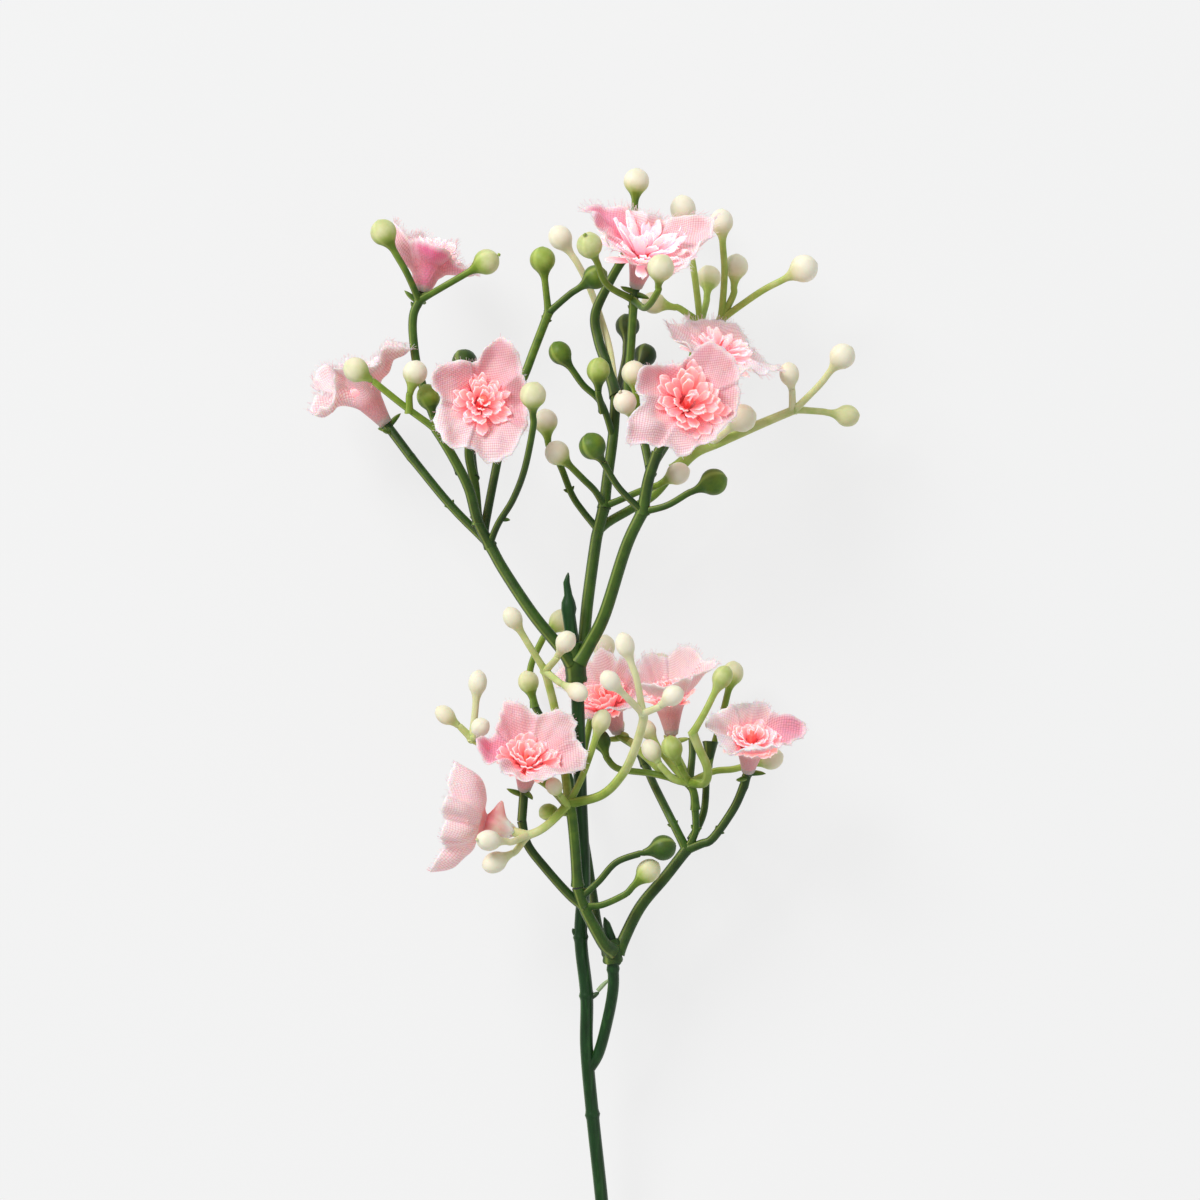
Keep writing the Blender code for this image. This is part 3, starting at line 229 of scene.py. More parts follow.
UPPER_BUDS = (
    bud(2.25, 1, 0.24, 0.68, LEFT_TOP, (-31, 92, 22.2), (-35, 99, 23.5)),
    bud(2.2, 1, 0.24, 0.68, LEFT_TOP, (-24.5, 90, 22.2), (-17.5, 94, 23), nib=True),
    bud(2.1, 1.05, 0.32, 0.82, (-26, 65.5, 30), (-31.5, 69.5, 30), (-36.5, 73.5, 30.5), (-39.5, 75.5, 31)),
    bud(2.1, 1, 0.36, 0.95, (-30.5, 68.5, 30), (-30.5, 71, 30.3), (-29.5, 75, 30.5)),
    bud(2, 1.1, 0.1, 0.5, (-25, 64, 29.7), (-26.5, 67.5, 27.5), (-27.3, 71, 27)),
    bud(2.2, 1, 0.05, 0.16, (-19.5, 57.5, 22), (-20.5, 66.5, 14), (-21.5, 72.5, 6.5), (-21.5, 77.5, 1.95)),
    bud(2.2, 1, 0.3, 0.5, INNER_TOP, (-7.5, 90, 18.5), (-8, 94.5, 19)),
    bud(2.1, 1, 0.16, 0.3, INNER_TOP, (-3.5, 88.5, 19), (1, 91.5, 20)),
    bud(2.25, 1, 0.08, 0.78, LEFT_FORK, (-15.5, 49.5, 24.5), (-13, 53.5, 28), (-11, 58.5, 33),
        (-9.5, 65.5, 38.5), (-9.5, 71, 41.5)),
    bud(2.1, 1, 0.16, 0.95, LOW_FORK, (-1, 51.5, 19.5), (-3, 54.5, 19), (-5, 59.5, 18), (-7, 63, 18),
        (-7.5, 67, 18)),
    bud(2.1, 1, 0.16, 0.93, MAIN_FORK, (1, 55, 23), (-1, 57, 24.5), (-5.5, 61.5, 26)),
    bud(1.9, 1.1, 0.25, 0.96, MAIN_FORK, (5, 53.5, 21.5), (8.5, 55, 22.5), (11.5, 56, 24.5), (15, 58, 26)),
    bud(2.2, 1, 0.16, 0.94, MIDDLE_TOP, (7.5, 100.5, 15.5), (8, 108, 16)),
    bud(2, 1.1, 0.7, 0.96, HIGH_FORK, (3.5, 79, 13.5), (2, 84.5, 11), (0, 90, 10.5), (-2, 94, 11.5),
        (-5, 98.5, 12)),
    bud(1.9, 1.1, 0.14, 0.32, (4, 64.5, 19), (2, 70, 22), (-1, 73, 23), (-5, 78.5, 24)),
    bud(2, 1.1, 0.16, 0.58, (2.2, 69, 21.5), (1.5, 71.5, 24), (1.5, 75.5, 25)),
    bud(2.1, 1, 0.02, 0.12, (4.5, 71, 18), (6, 77.5, 11), (6.5, 83.5, 8)),
    bud(2, 1, 0, 0.05, (4.5, 71, 18), (7.5, 75, 11), (9.5, 78.5, 7)),
    bud(2.3, 1, 0.12, 0.3, RIGHT_FORK, (5, 55.5, 33), (2.5, 59.5, 35), (0.5, 62.5, 36)),
    bud(2.3, 1, 0.2, 0.32, RIGHT_FORK, (13, 52.5, 31), (16.5, 54.5, 32), (21, 56.5, 33)),
    bud(2.2, 1, 0.32, 0.66, BLOOM_TOP, (3, 90, 27), (0, 96.5, 33), nib=True),
    bud(2.3, 1, 0.24, 0.82, BLOOM_TOP, (9.5, 86, 31), (11.5, 88.5, 36.5), (12, 92.5, 39.5)),
    bud(2.1, 1, 0.3, 0.9, (8.5, 66, 26.3), (8, 70, 27.5), (7.5, 75, 28)),
    bud(2, 1, 0.45, 0.97, (9, 64, 27.5), (7.5, 67, 30), (6, 70, 32), nib=True),
)
LOWER_ARMS = (
    arm(1.1, 0.92, 0.14, 0.2, (3.6, -23, 19.3), (2.5, -22, 20.8), (0.5, -18.5, 22), LOWER_LEFT,
        (-2, -12.3, 23.4)),
    arm(0.8, 0.75, 0.12, 0.08, LOWER_LEFT, (-3.5, -13.5, 22.5), (-7.5, -9, 23.5), (-10.5, -5, 24),
        (-11.5, -1, 24.5)),
    arm(0.85, 0.6, 0.1, 0.12, (3, -23.4, 16.6), (1.5, -19.5, 12), (0.5, -13.5, 9), (-1, -4, 7),
        (-3.5, 6, 6), (-6.5, 13, 5), LOWER_BACK),
    arm(0.65, 0.6, 0.2, 0.4, (-2.5, 2.5, 6.2), (-0.5, 13, 4), LOWER_MIDDLE),
    arm(1.05, 0.95, 0.16, 0.14, (4.9, -23.3, 17.6), (8.5, -16, 17.5), (13, -10.5, 18), LOWER_FORK),
    arm(0.75, 0.7, 0.22, 0.12, LOWER_FORK, (15.5, -4, 18), (13.5, 0, 16.5), (11, 5, 12), (9.5, 8.5, 9.5)),
    arm(0.62, 0.62, 0.18, 0.22, LOWER_FORK, (18, -3, 18.5), (18, 1.15, 18.93)),
    arm(0.65, 0.6, 0.2, 0.12, (17.5, -4, 18), (19.5, 0.5, 16), (20, 7, 14), (20.5, 10, 13.3)),
    arm(0.75, 0.75, 0.16, 0.08, LOWER_FORK, (19, -5, 18.5), (21, -4, 19), (24.5, 1, 20), (26.3, 5, 21)),
    arm(0.7, 1.15, 0.12, 0.1, (9.5, 8.5, 9.5), (9.1, 10.5, 8.5)),
    arm(0.6, 1.2, 0.12, 0.1, (20.5, 10, 13.3), (20.6, 12.3, 13)),
)
LOWER_BUDS = (
    bud(2, 1.1, 0.2, 0.78, LOWER_LEFT, (2, -15.3, 22.5), (6, -13.5, 22.5), (10, -9.5, 23)),
    bud(2.2, 1, 0.14, 0.2, (-1.5, -14, 22.9), (1.5, -11.3, 23.8), (4.5, -8, 25), (8.5, -6.5, 25),
        (12.5, -5.5, 25)),
    bud(1.8, 1.1, 0.3, 0.75, LOWER_BACK, (-10.5, 22.5, 4.5)),
    bud(1.9, 1.1, 0.3, 0.8, LOWER_BACK, (-10.2, 24.5, 4.5), (-8, 30, 4.5), (-5, 33, 4.5)),
    bud(1.9, 1.1, 0.5, 0.88, LOWER_MIDDLE, (2, 24.5, 2.8), (2.5, 28.5, 3)),
    bud(1.9, 1.1, 0.5, 0.88, LOWER_MIDDLE, (7, 23, 3.2), (12, 25.5, 4)),
    bud(1.9, 1.1, 0.3, 0.78, (20.3, 8.5, 13.7), (22.5, 16, 10), (24.5, 24, 8)),
)
FRONT_ARMS = (
    arm(0.92, 0.9, 0.16, 0.27, (-2.05, -11.6, 23.65), (-2.5, -5, 25.5), (-3, 0, 26.7), FRONT_FORK),
    arm(0.75, 0.7, 0.42, 0.68, FRONT_FORK, (-6.5, -1, 28.5), (-8.5, -2.5, 29), FRONT_LEFT),
    arm(0.78, 0.75, 0.42, 0.72, FRONT_FORK, (2, 3.5, 29), (5.5, 7, 33), (7.5, 11, 37), (9, 16, 40),
        FRONT_HIGH),
    arm(0.75, 0.7, 0.42, 0.6, (-3.5, 1.5, 27), (-4, 6, 23), (-5, 13, 21), (-6, 18.5, 22), FRONT_MIDDLE),
    arm(0.75, 0.65, 0.4, 0.6, (-3.5, 1.5, 27), (-7, 5, 22), (-12, 8, 20), (-16, 10.5, 21), FRONT_FAR),
)
FRONT_BUDS = (
    bud(1.8, 1.25, 0.72, 0.98, FRONT_LEFT, (-13, -4.3, 32.8), (-17, -4, 36), nib=True),
    bud(1.8, 1.25, 0.7, 0.95, FRONT_LEFT, (-12.5, -6, 31), (-16, -7.8, 32.5)),
    bud(1.6, 1.35, 0.74, 0.97, FRONT_HIGH, (8, 23, 43), (6, 29, 44)),
    bud(1.6, 1.25, 0.74, 0.98, FRONT_HIGH, (6.5, 20, 44), (3.5, 23, 46)),
    bud(1.7, 1.15, 0.74, 0.97, FRONT_HIGH, (11.5, 18.5, 44), (14, 20.5, 45.5)),
    bud(1.6, 1.25, 0.6, 0.9, FRONT_MIDDLE, (-10, 28.5, 27.5), (-13, 33.5, 29)),
    bud(1.7, 1.2, 0.62, 0.96, FRONT_MIDDLE, (-5.7, 26.5, 29), (-4, 29.5, 31.5)),
    bud(1.6, 1.25, 0.62, 0.96, FRONT_MIDDLE, (-5, 22.5, 29), (-2, 21, 31)),
    bud(1.6, 1.35, 0.7, 0.95, FRONT_FAR, (-19.5, 17, 22.5), (-19, 22.5, 23)),
    bud(1.5, 1.3, 0.62, 0.88, FRONT_FAR, (-22, 15, 22.5), (-24.5, 17, 23)),
    bud(1.6, 1.1, 0.62, 0.97, FRONT_FAR, (-19.3, 13.3, 23), (-18.5, 15, 26.5)),
    bud(1.6, 1.3, 0.45, 0.8, FRONT_FORK, (-1.5, 6, 27), (0, 10, 27), (2, 16, 28)),
    bud(1.4, 1.2, 0.5, 0.86, (-3.5, 1.5, 27.2), (-5, 3.5, 29), (-6, 5, 30), nib=True),
    bud(1.5, 1.2, 0.4, 0.62, (-3.3, 0.5, 26.8), (-5.5, 0.5, 24.5), (-7, 0.5, 22.8)),
)
RIGHT_ARMS = (
    arm(0.7, 0.66, 0.22, 0.3, (18, 1.25, 18.95), (17.8, 3.5, 19.5), CLUSTER_FORK),
    arm(0.75, 0.65, 0.45, 0.55, CLUSTER_FORK, (13.5, 6.5, 18.5), (10, 9.5, 15), (7, 12.2, 10.5)),
    arm(0.75, 0.7, 0.45, 0.5, CLUSTER_FORK, (15.8, 8, 17), (14.5, 10.5, 15.3)),
    arm(0.65, 0.6, 0.2, 0.1, CLUSTER_FORK, (17.5, 10, 17.5), (17.5, 13, 17)),
    arm(0.78, 0.75, 0.42, 0.6, CLUSTER_FORK, (19.5, 5.5, 23), (20, 8, 26), (18.5, 11.5, 28),
        (17.5, 14, 29)),
)
RIGHT_BUDS = (
    bud(1.6, 1.2, 0.34, 0.16, (15, 6, 19), (10.5, 7, 18), (5, 7.7, 13.5), (3, 9.5, 12), (2, 12.5, 11)),
    bud(1.6, 1.25, 0.5, 0.96, CLUSTER_FORK, (14.5, 6, 21.5), (12, 8.5, 22.5), (10.5, 11, 22.5)),
    bud(1.8, 1.15, 0.42, 0.58, CLUSTER_FORK, (15.5, 8, 23), (14, 11.5, 24.5)),
    bud(1.5, 1.2, 0.5, 0.88, CLUSTER_FORK, (14.8, 7.5, 20), (12, 11, 19), (9.8, 14.5, 18.7)),
    bud(1.7, 1.2, 0.56, 0.62, (17.5, 14, 29), (19.5, 17.5, 30), (22.5, 23.5, 31)),
    bud(1.9, 1.1, 0.45, 0.88, CLUSTER_FORK, (21, 7.3, 18), (24.5, 7.7, 16.5), (31, 9.5, 16.5)),
)
EDGE_ARMS = (
    arm(1.1, 0.72, 0.5, 0.68, (14.7, 58.8, 16.4), (18, 61.8, 16), (22, 63.5, 16.5), (29, 66.5, 17),
        EDGE_FORK),
)
EDGE_BUDS = (
    bud(2.2, 1, 0.68, 0.94, EDGE_FORK, (39, 73, 20), (43, 78, 22)),
    bud(1.9, 1.1, 0.62, 0.74, EDGE_FORK, (39.5, 68.7, 16), (44, 68, 14.5)),
    bud(1.7, 1.2, 0.75, 0.92, (34.6, 68.8, 17.9), (34.5, 72, 19.5), (34, 75, 20)),
    bud(2.4, 1, 0.7, 0.9, (20.5, 63, 16.3), (23, 65, 18.5), (26, 67.5, 21)),
)
BACK_ARMS = (
    arm(1.1, 0.9, 0.26, 0.34, (15, 66.7, 21.6), BACK_ROOT),
    arm(0.75, 0.75, 0.3, 0.46, BACK_ROOT, (18, 74, 12), (20.5, 80, 11), BACK_HIGH),
    arm(0.75, 0.75, 0.34, 0.46, (17, 71, 15.5), (17.5, 77, 9), BACK_LOW),
)
BACK_BUDS = (
    bud(2, 1.1, 0.46, 0.98, BACK_HIGH, (23, 92, 17), (22.5, 101, 18)),
    bud(2.1, 1, 0.48, 0.94, BACK_HIGH, (24.5, 88.5, 15), (25, 93.5, 15)),
    bud(2.4, 1, 0.5, 0.98, BACK_HIGH, (29, 89, 17), (36.5, 93, 19)),
    bud(1.9, 1.1, 0.46, 0.85, BACK_LOW, (15.5, 86.5, 7.5), (11, 87.5, 7)),
    bud(2.1, 1, 0.46, 0.88, BACK_LOW, (20, 87.5, 4.5), (20.5, 92, 1.85)),
    bud(2.2, 1.1, 0.5, 0.97, BACK_LOW, (18, 92, 8.5), (16, 103.5, 9)),
)

UPPER_BARBS = (
    ((-19.2, 50.3, 24.2), (-0.3, 0.8, 0.4)), ((-14.6, 50.2, 25.2), (0.4, 0.7, 0.5)),
    ((-3.3, 55, 18.9), (-0.4, 0.9, -0.2)), ((7.4, 48.3, 29.6), (0.4, 0.9, 0.2)),
    ((-23.5, 52.5, 21), (-0.6, 0.7, 0)), ((-29.8, 86.3, 19.5), (0.3, 0.9, 0)),
    ((-7.6, 84, 18), (0.4, 0.9, 0)), ((7.4, 85.8, 22.9), (0, 0.9, 0.2)),
)
LOWER_BARBS = (
    ((14.4, -2, 17.5), (-0.4, 0.8, -0.2)), ((18, -2.7, 18.6), (0.2, 0.9, 0.1)),
    ((21.8, -3, 19.2), (0.6, 0.8, 0.2)), ((-1.6, -13.3, 23.1), (-0.3, 0.9, 0.2)),
)
FRONT_BARBS = (((-3.3, 1.2, 26.9), (-0.2, 0.9, 0.3)),)
RIGHT_BARBS = (((17.6, 4.2, 19.7), (-0.3, 0.9, 0.2)),)

UPPER_LEADERS = {
    "bloom_01": (LEFT_TOP,), "bloom_02": ((-30.5, 61, 19.5), (-33.5, 65, 18.3)),
    "bloom_03": ((-19.8, 65.5, 25), (-19.6, 66.9, 26.2)), "bloom_04": (BLOOM_TOP,),
    "bloom_05": ((11.5, 61.5, 31.5), (14.2, 66.2, 31.9)),
}
BACK_LEADERS = {"bloom_06": (BACK_ROOT, (19, 71, 19.5))}
LOWER_LEADERS = {
    "bloom_07": ((-11.5, -1, 24.5), (-11.2, 3, 24.2)), "bloom_08": ((26.3, 5, 21), (26.7, 6.6, 21.5)),
}
FRONT_LEADERS = {"bloom_09": (FRONT_LEFT,)}
RIGHT_LEADERS = {"bloom_10": ((7, 12.2, 10.5),), "bloom_11": ((14.5, 10.5, 15.3), (14.15, 11.9, 15.1))}

UPPER_COLLAR = (((-2.2, 22.6, 21.3), 1.75), ((-2.5, 26.5, 21.9), 1.85), ((-2.9, 29.3, 22.3), 1.6))
LOWER_COLLAR = (((4, -25.2, 17.6), 1.6), ((3.8, -23, 17.9), 1.7), ((3.55, -21.3, 18), 1.45))


@dataclass(frozen=True)
class BloomSpec:
    """A bloom: where its plug sits, the way it faces, its petals and its cut outline.

    The outline gives the cut edge's distance from the axis in some directions, in order. Fray is
    the share of the edge with loose threads, and lift is how far up the plug the foot sits. Size,
    tuck and frill make the heart larger, less open and more crowded, and a closed heart's middle
    petals lean inwards. Waist is a bowl's radius at its waist, pale fades the heart, crumple
    scales the sheet's creases, and a torn bloom has a skirt below it.
    """

    base: Spot
    axis: Spot
    lobes: tuple[Lobe, ...]
    outline: tuple[Pair, ...]
    fray: float = 0.4
    lift: float = 0.0
    size: float = 1.0
    tuck: float = 1.0
    frill: float = 1.0
    closed: bool = True
    upright: bool = False
    form: Form = Form.TRUMPET
    heart: Heart = Heart.TONGUES
    waist: float = 1.35
    pale: float = 0.0
    crumple: float = 1.0
    torn: bool = False


BLOOMS = {
    "bloom_01": BloomSpec((-28.6, 89.2, 18.3), (0.22, 0.92, -0.34), (
        Lobe(350, 86, 0.1, 0.5), Lobe(60, 38, 0.3, -0.9), Lobe(118, 36, 0.3, -0.9), Lobe(192, 50, 0.2, 0.2),
        Lobe(282, 80, 0.9, 1.5)), (
        (0, 7.8), (18, 6.6), (34, 5), (46, 5.4), (60, 5.8), (76, 5.2), (90, 4.8), (104, 5.4), (120, 5.8),
        (138, 5.2), (152, 5.4), (166, 6.6), (180, 7.4), (194, 7.4), (206, 6.2), (218, 4.6), (230, 5),
        (244, 6.4), (262, 7.4), (284, 7.7), (302, 7.1), (318, 5.8), (330, 5.9), (342, 7.5), (351, 8)),
        fray=1, size=0.8, pale=0.95, crumple=0.3, form=Form.BOWL, waist=2.2, tuck=0.6),
    "bloom_02": BloomSpec((-35, 67, 18), (-0.58, 0.8, 0.1), (
        Lobe(2, 70, 0.3, -0.3), Lobe(74, 48, 0.3, -0.6), Lobe(124, 44, 0.3, -0.7), Lobe(184, 62, 0.3, -0.3),
        Lobe(262, 30, 0.1, -0.3)), (
        (2, 10.3), (14, 10.4), (26, 9.9), (40, 7.8), (56, 7.4), (74, 7.8), (92, 7.4), (104, 8.2),
        (120, 9.2), (134, 8.8), (150, 7.4), (162, 7.2), (176, 8.6), (188, 8.6), (204, 7.4), (220, 5.4),
        (240, 5.6), (262, 6), (284, 5.4), (304, 6.2), (322, 9), (338, 10.2), (350, 10.5)),
        fray=0.9, size=0.6, pale=0.45, tuck=0.45, crumple=1.7),
    "bloom_03": BloomSpec((-19.2, 68, 28), (0.16, 0.3, 0.94), (
        Lobe(358, 76, 0.5, 0, 0.4), Lobe(72, 68, 0.4, 0, 0.8), Lobe(148, 72, 0.6, 0, 0.5),
        Lobe(222, 86, 0.5, -0.4), Lobe(286, 84, 0.4, -0.3)), (
        (0, 7.8), (20, 8.1), (32, 8.2), (42, 8.9), (52, 9.9), (60, 10.7), (68, 11.2), (76, 11.2), (83, 9.9),
        (90, 8.7), (97, 7.1), (105, 6.9), (114, 7.3), (124, 8.2), (136, 9), (150, 9.7), (161, 9.6),
        (171, 8.7), (180, 7.5), (188, 7.3), (197, 8.4), (209, 9.4), (222, 10), (233, 10.4), (243, 10),
        (252, 9.2), (260, 8.9), (269, 9.6), (280, 10.6), (291, 10.7), (301, 10.3), (311, 9.4), (320, 9),
        (330, 8.9), (345, 8)),
        size=0.92, closed=False, pale=0.1, heart=Heart.PLATES, frill=1.5),
    "bloom_04": BloomSpec((8, 90.3, 23.9), (0.22, 0.83, 0.5), (
        Lobe(22, 58, 0.7, -0.3, 0.3), Lobe(96, 42, 0.4, -0.5), Lobe(156, 64, 0.5, 0.8, 0.2),
        Lobe(228, 68, 0.3), Lobe(318, 66, 0.3, -0.7)), (
        (0, 10.5), (11, 11.4), (21, 12.1), (29, 12.1), (37, 10.6), (45, 9.2), (53, 7.9), (62, 6.8),
        (74, 6.4), (86, 6.1), (98, 6), (110, 6.5), (120, 7.2), (130, 8.5), (141, 10), (150, 11.5),
        (159, 11.9), (169, 11.3), (180, 10.1), (190, 8), (201, 8.6), (214, 8.8), (228, 8.6), (242, 7.8),
        (256, 7), (270, 6.7), (280, 7.3), (290, 6.7), (301, 7.9), (311, 7.4), (322, 8.9), (334, 8.4),
        (346, 9.6)),
        fray=1, size=1.5, pale=0.85, crumple=1.3),
    "bloom_05": BloomSpec((15, 67.5, 33.5), (0.25, 0.38, 0.89), (
        Lobe(352, 74, 0.5, -0.2), Lobe(52, 68, 0.5, 0, 1), Lobe(152, 70, 0.6, 0, 0.7),
        Lobe(215, 80, 0.4, -0.2), Lobe(268, 78, 0.4, -0.1)), (
        (0, 8.5), (12, 8.9), (22, 9), (31, 9.8), (41, 10.5), (51, 10.7), (61, 10.8), (70, 11), (79, 9.9),
        (88, 8.2), (96, 7), (106, 6.6), (116, 6.8), (128, 7.2), (139, 8), (149, 9.2), (157, 10.3),
        (164, 10.3), (172, 9.7), (180, 9.4), (187, 8.7), (193, 8.7), (199, 10.1), (206, 12.2), (213, 13.4),
        (220, 13.6), (228, 12.6), (240, 11), (251, 10.1), (261, 10.7), (269, 10.2), (279, 8.7), (290, 8.1),
        (302, 8.2), (314, 7.5), (328, 7.6), (344, 7.9)),
        size=1.18, heart=Heart.PLATES, frill=1.25),
    "bloom_06": BloomSpec((20.3, 73, 20.8), (0.33, 0.86, 0.38), (
        Lobe(14, 84, 0.3, -1), Lobe(72, 70, 0.3, -0.8), Lobe(130, 66, 0.3, -0.6), Lobe(190, 76, 0.4, -0.4),
        Lobe(285, 72, 0.2, -1)), (
        (0, 10.2), (14, 10.2), (26, 9.2), (40, 7), (56, 7.4), (72, 8), (88, 7.2), (102, 7.6), (118, 8.6),
        (134, 8.8), (150, 8), (160, 8.2), (174, 10.2), (188, 10.4), (204, 10.2), (222, 9.6), (238, 8),
        (256, 8.2), (275, 8.4), (294, 8.2), (308, 8), (324, 9), (340, 9.8)),
        fray=1, pale=0.6),
    "bloom_07": BloomSpec((-11, 5, 25.5), (0.1, 0.72, 0.69), (
        Lobe(352, 78, 0.5, -0.2, 0.3), Lobe(48, 54, 0.5, -0.1, 0.5), Lobe(112, 54, 0.5, 0, 0.6),
        Lobe(177, 76, 0.5, 1), Lobe(272, 52, 0.2, -0.3)), (
        (0, 10), (10, 9.4), (20, 8.6), (29, 8.8), (40, 9.5), (51, 9.5), (61, 9), (70, 8.2), (78, 7.6),
        (86, 7.7), (98, 8.7), (108, 9.4), (116, 9.8), (123, 9.1), (131, 8.3), (140, 7.7), (150, 7.1),
        (158, 7.5), (165, 8.7), (173, 9.5), (182, 9.5), (191, 8.9), (200, 7.9), (210, 7.6), (222, 7.6),
        (236, 6.8), (252, 6.8), (270, 7), (288, 7.1), (304, 7.4), (317, 8.4), (328, 8.6), (340, 8.4),
        (350, 9.5)),
        fray=0.3, size=0.92, heart=Heart.PLATES, frill=1.1),
    "bloom_08": BloomSpec((27, 8, 22.5), (0.08, 0.75, 0.65), (
        Lobe(22, 80, 0.5, 0.6), Lobe(88, 46, 0.4, -0.9), Lobe(165, 64, 0.5, -0.9), Lobe(232, 60, 0.3, -0.9),
        Lobe(298, 54, 0.2, -0.8)), (
        (0, 6.9), (9, 8.4), (18, 9.7), (26, 10), (33, 8.8), (41, 6.9), (51, 6.2), (63, 6.6), (76, 6.5),
        (90, 6), (103, 5.9), (115, 6.2), (128, 6.6), (140, 7), (151, 7.5), (161, 8.1), (172, 8.2),
        (182, 7.9), (193, 7.2), (206, 6.7), (220, 6.1), (236, 6.1), (254, 6.5), (270, 6.4), (288, 6),
        (306, 6.1), (322, 5.9), (340, 6.1)),
        fray=0.3, size=0.78, heart=Heart.PLATES, pale=0.25),
    "bloom_09": BloomSpec((-13.2, -2.6, 28.6), (-0.96, 0.26, -0.05), (
        Lobe(348, 55, 0.4, -0.7), Lobe(60, 66, 0.3, -0.8), Lobe(130, 64, 0.3, -0.8),
        Lobe(196, 58, 0.2, -0.6), Lobe(282, 54, 0.2, -0.6)), (
        (0, 8.7), (16, 8.2), (34, 7), (60, 7.8), (84, 7.8), (98, 7), (112, 7.6), (130, 8.2), (150, 8.2),
        (165, 8.4), (182, 9.3), (196, 9.4), (210, 8.4), (222, 6.6), (234, 7.4), (250, 7.9), (262, 7),
        (274, 8.2), (290, 8.4), (300, 7.2), (314, 8.8), (330, 9.1), (346, 9)),
        lift=1.5, size=0.8, upright=True, form=Form.BOWL, torn=True, crumple=0.75),
    "bloom_10": BloomSpec((4.7, 14.5, 8.6), (-0.3, 0.78, 0.55), (
        Lobe(328, 70, 0.4, -0.4), Lobe(30, 54, 0.3, -0.4), Lobe(86, 42, 0.3, -0.5),
        Lobe(134, 58, 0.3, -0.4), Lobe(240, 60, 0.3, -0.4)), (
        (0, 6.8), (14, 7.4), (30, 7.8), (46, 7.4), (58, 6.4), (72, 7.2), (86, 7.6), (100, 6.8), (112, 7.6),
        (124, 9.6), (138, 9.8), (152, 8.6), (166, 7.4), (180, 5.6), (200, 5.4), (225, 5.8), (250, 6.2),
        (268, 6.4), (284, 7.4), (300, 8.8), (316, 9), (332, 8.4), (346, 7.4)),
        fray=0.7, size=0.9, heart=Heart.PLATES, frill=1.2),
    "bloom_11": BloomSpec((14, 13.3, 15.5), (-0.07, 0.94, 0.33), (
        Lobe(0, 46, 0.2, -0.4), Lobe(60, 40, 0.2, -0.6), Lobe(120, 38, 0.2, -0.6), Lobe(182, 40, 0.2, -0.4),
        Lobe(270, 40, 0.1, -0.6)), (
        (0, 8.4), (14, 8.2), (30, 7.2), (46, 7.6), (62, 7.9), (78, 7.3), (92, 6.5), (106, 6.8), (120, 7),
        (136, 6.4), (150, 6), (166, 6.4), (182, 6.4), (200, 5.8), (222, 5.8), (245, 6.2), (270, 6.5),
        (295, 6.3), (316, 6.6), (334, 7.9), (348, 8.4)),
        lift=1, fray=0.6, size=0.7, crumple=0.6),
}


def srgb(code: str) -> tuple[float, float, float, float]:
    """Linear colour, with full cover, of a six-figure hexadecimal one.

    Args:
        code: Six hexadecimal figures.

    Returns:
        Red, green, blue and full cover.
    """
    values = [int(code[at:at + 2], 16) / 255 for at in (0, 2, 4)]
    red, green, blue = (v / 12.92 if v <= 0.04045 else ((v + 0.055) / 1.055) ** 2.4 for v in values)
    return red, green, blue, 1.0


def world(point: Iterable[float]) -> Vector:
    """A place in metres, in the part's frame, from one in millimetres."""
    return (Vector(point) - BOX_CENTRE) * MM


class Tree:
    """A node tree that is put together node by node."""

    def __init__(self, tree: NodeTree) -> None:
        """Take over a tree and empty it."""
        self.tree = tree
        tree.nodes.clear()

    def add(self, kind: str, values: dict[str | int, object] | None = None, **settings: object) -> Node:
        """Add a node.

        Args:
            kind: The node's type.
            values: Constants or sockets for its inputs, by name or number.
            **settings: Properties of the node.

        Returns:
            The new node.
        """
        node = self.tree.nodes.new(kind)
        for name, setting in settings.items():
            setattr(node, name, setting)
        for key, value in (values or {}).items():
            if isinstance(value, NodeSocket):
                self.tree.links.new(value, node.inputs[key])
            else:
                node.inputs[key].default_value = value
        return node

    def out(self, kind: str, values: dict[str | int, object] | None = None, **settings: object) -> NodeSocket:
        """Add a node and give its first output."""
        return self.add(kind, values, **settings).outputs[0]

    def math(self, operation: str, first: object, second: object = 0.0, third: object = 0.0) -> NodeSocket:
        """A sum of one, two or three numbers or sockets."""
        return self.out("ShaderNodeMath", {0: first, 1: second, 2: third}, operation=operation)

    def times(self, first: object, second: object) -> NodeSocket:
        """The product of two numbers or sockets."""
        return self.math("MULTIPLY", first, second)

    def vector(self, x: object = 0.0, y: object = 0.0, z: object = 0.0) -> NodeSocket:
        """Three numbers or sockets as a vector."""
        return self.out("ShaderNodeCombineXYZ", {0: x, 1: y, 2: z})

    def scaled(self, vector: NodeSocket, factor: object) -> NodeSocket:
        """A vector times a number."""
        return self.out("ShaderNodeVectorMath", {0: vector, "Scale": factor}, operation="SCALE")


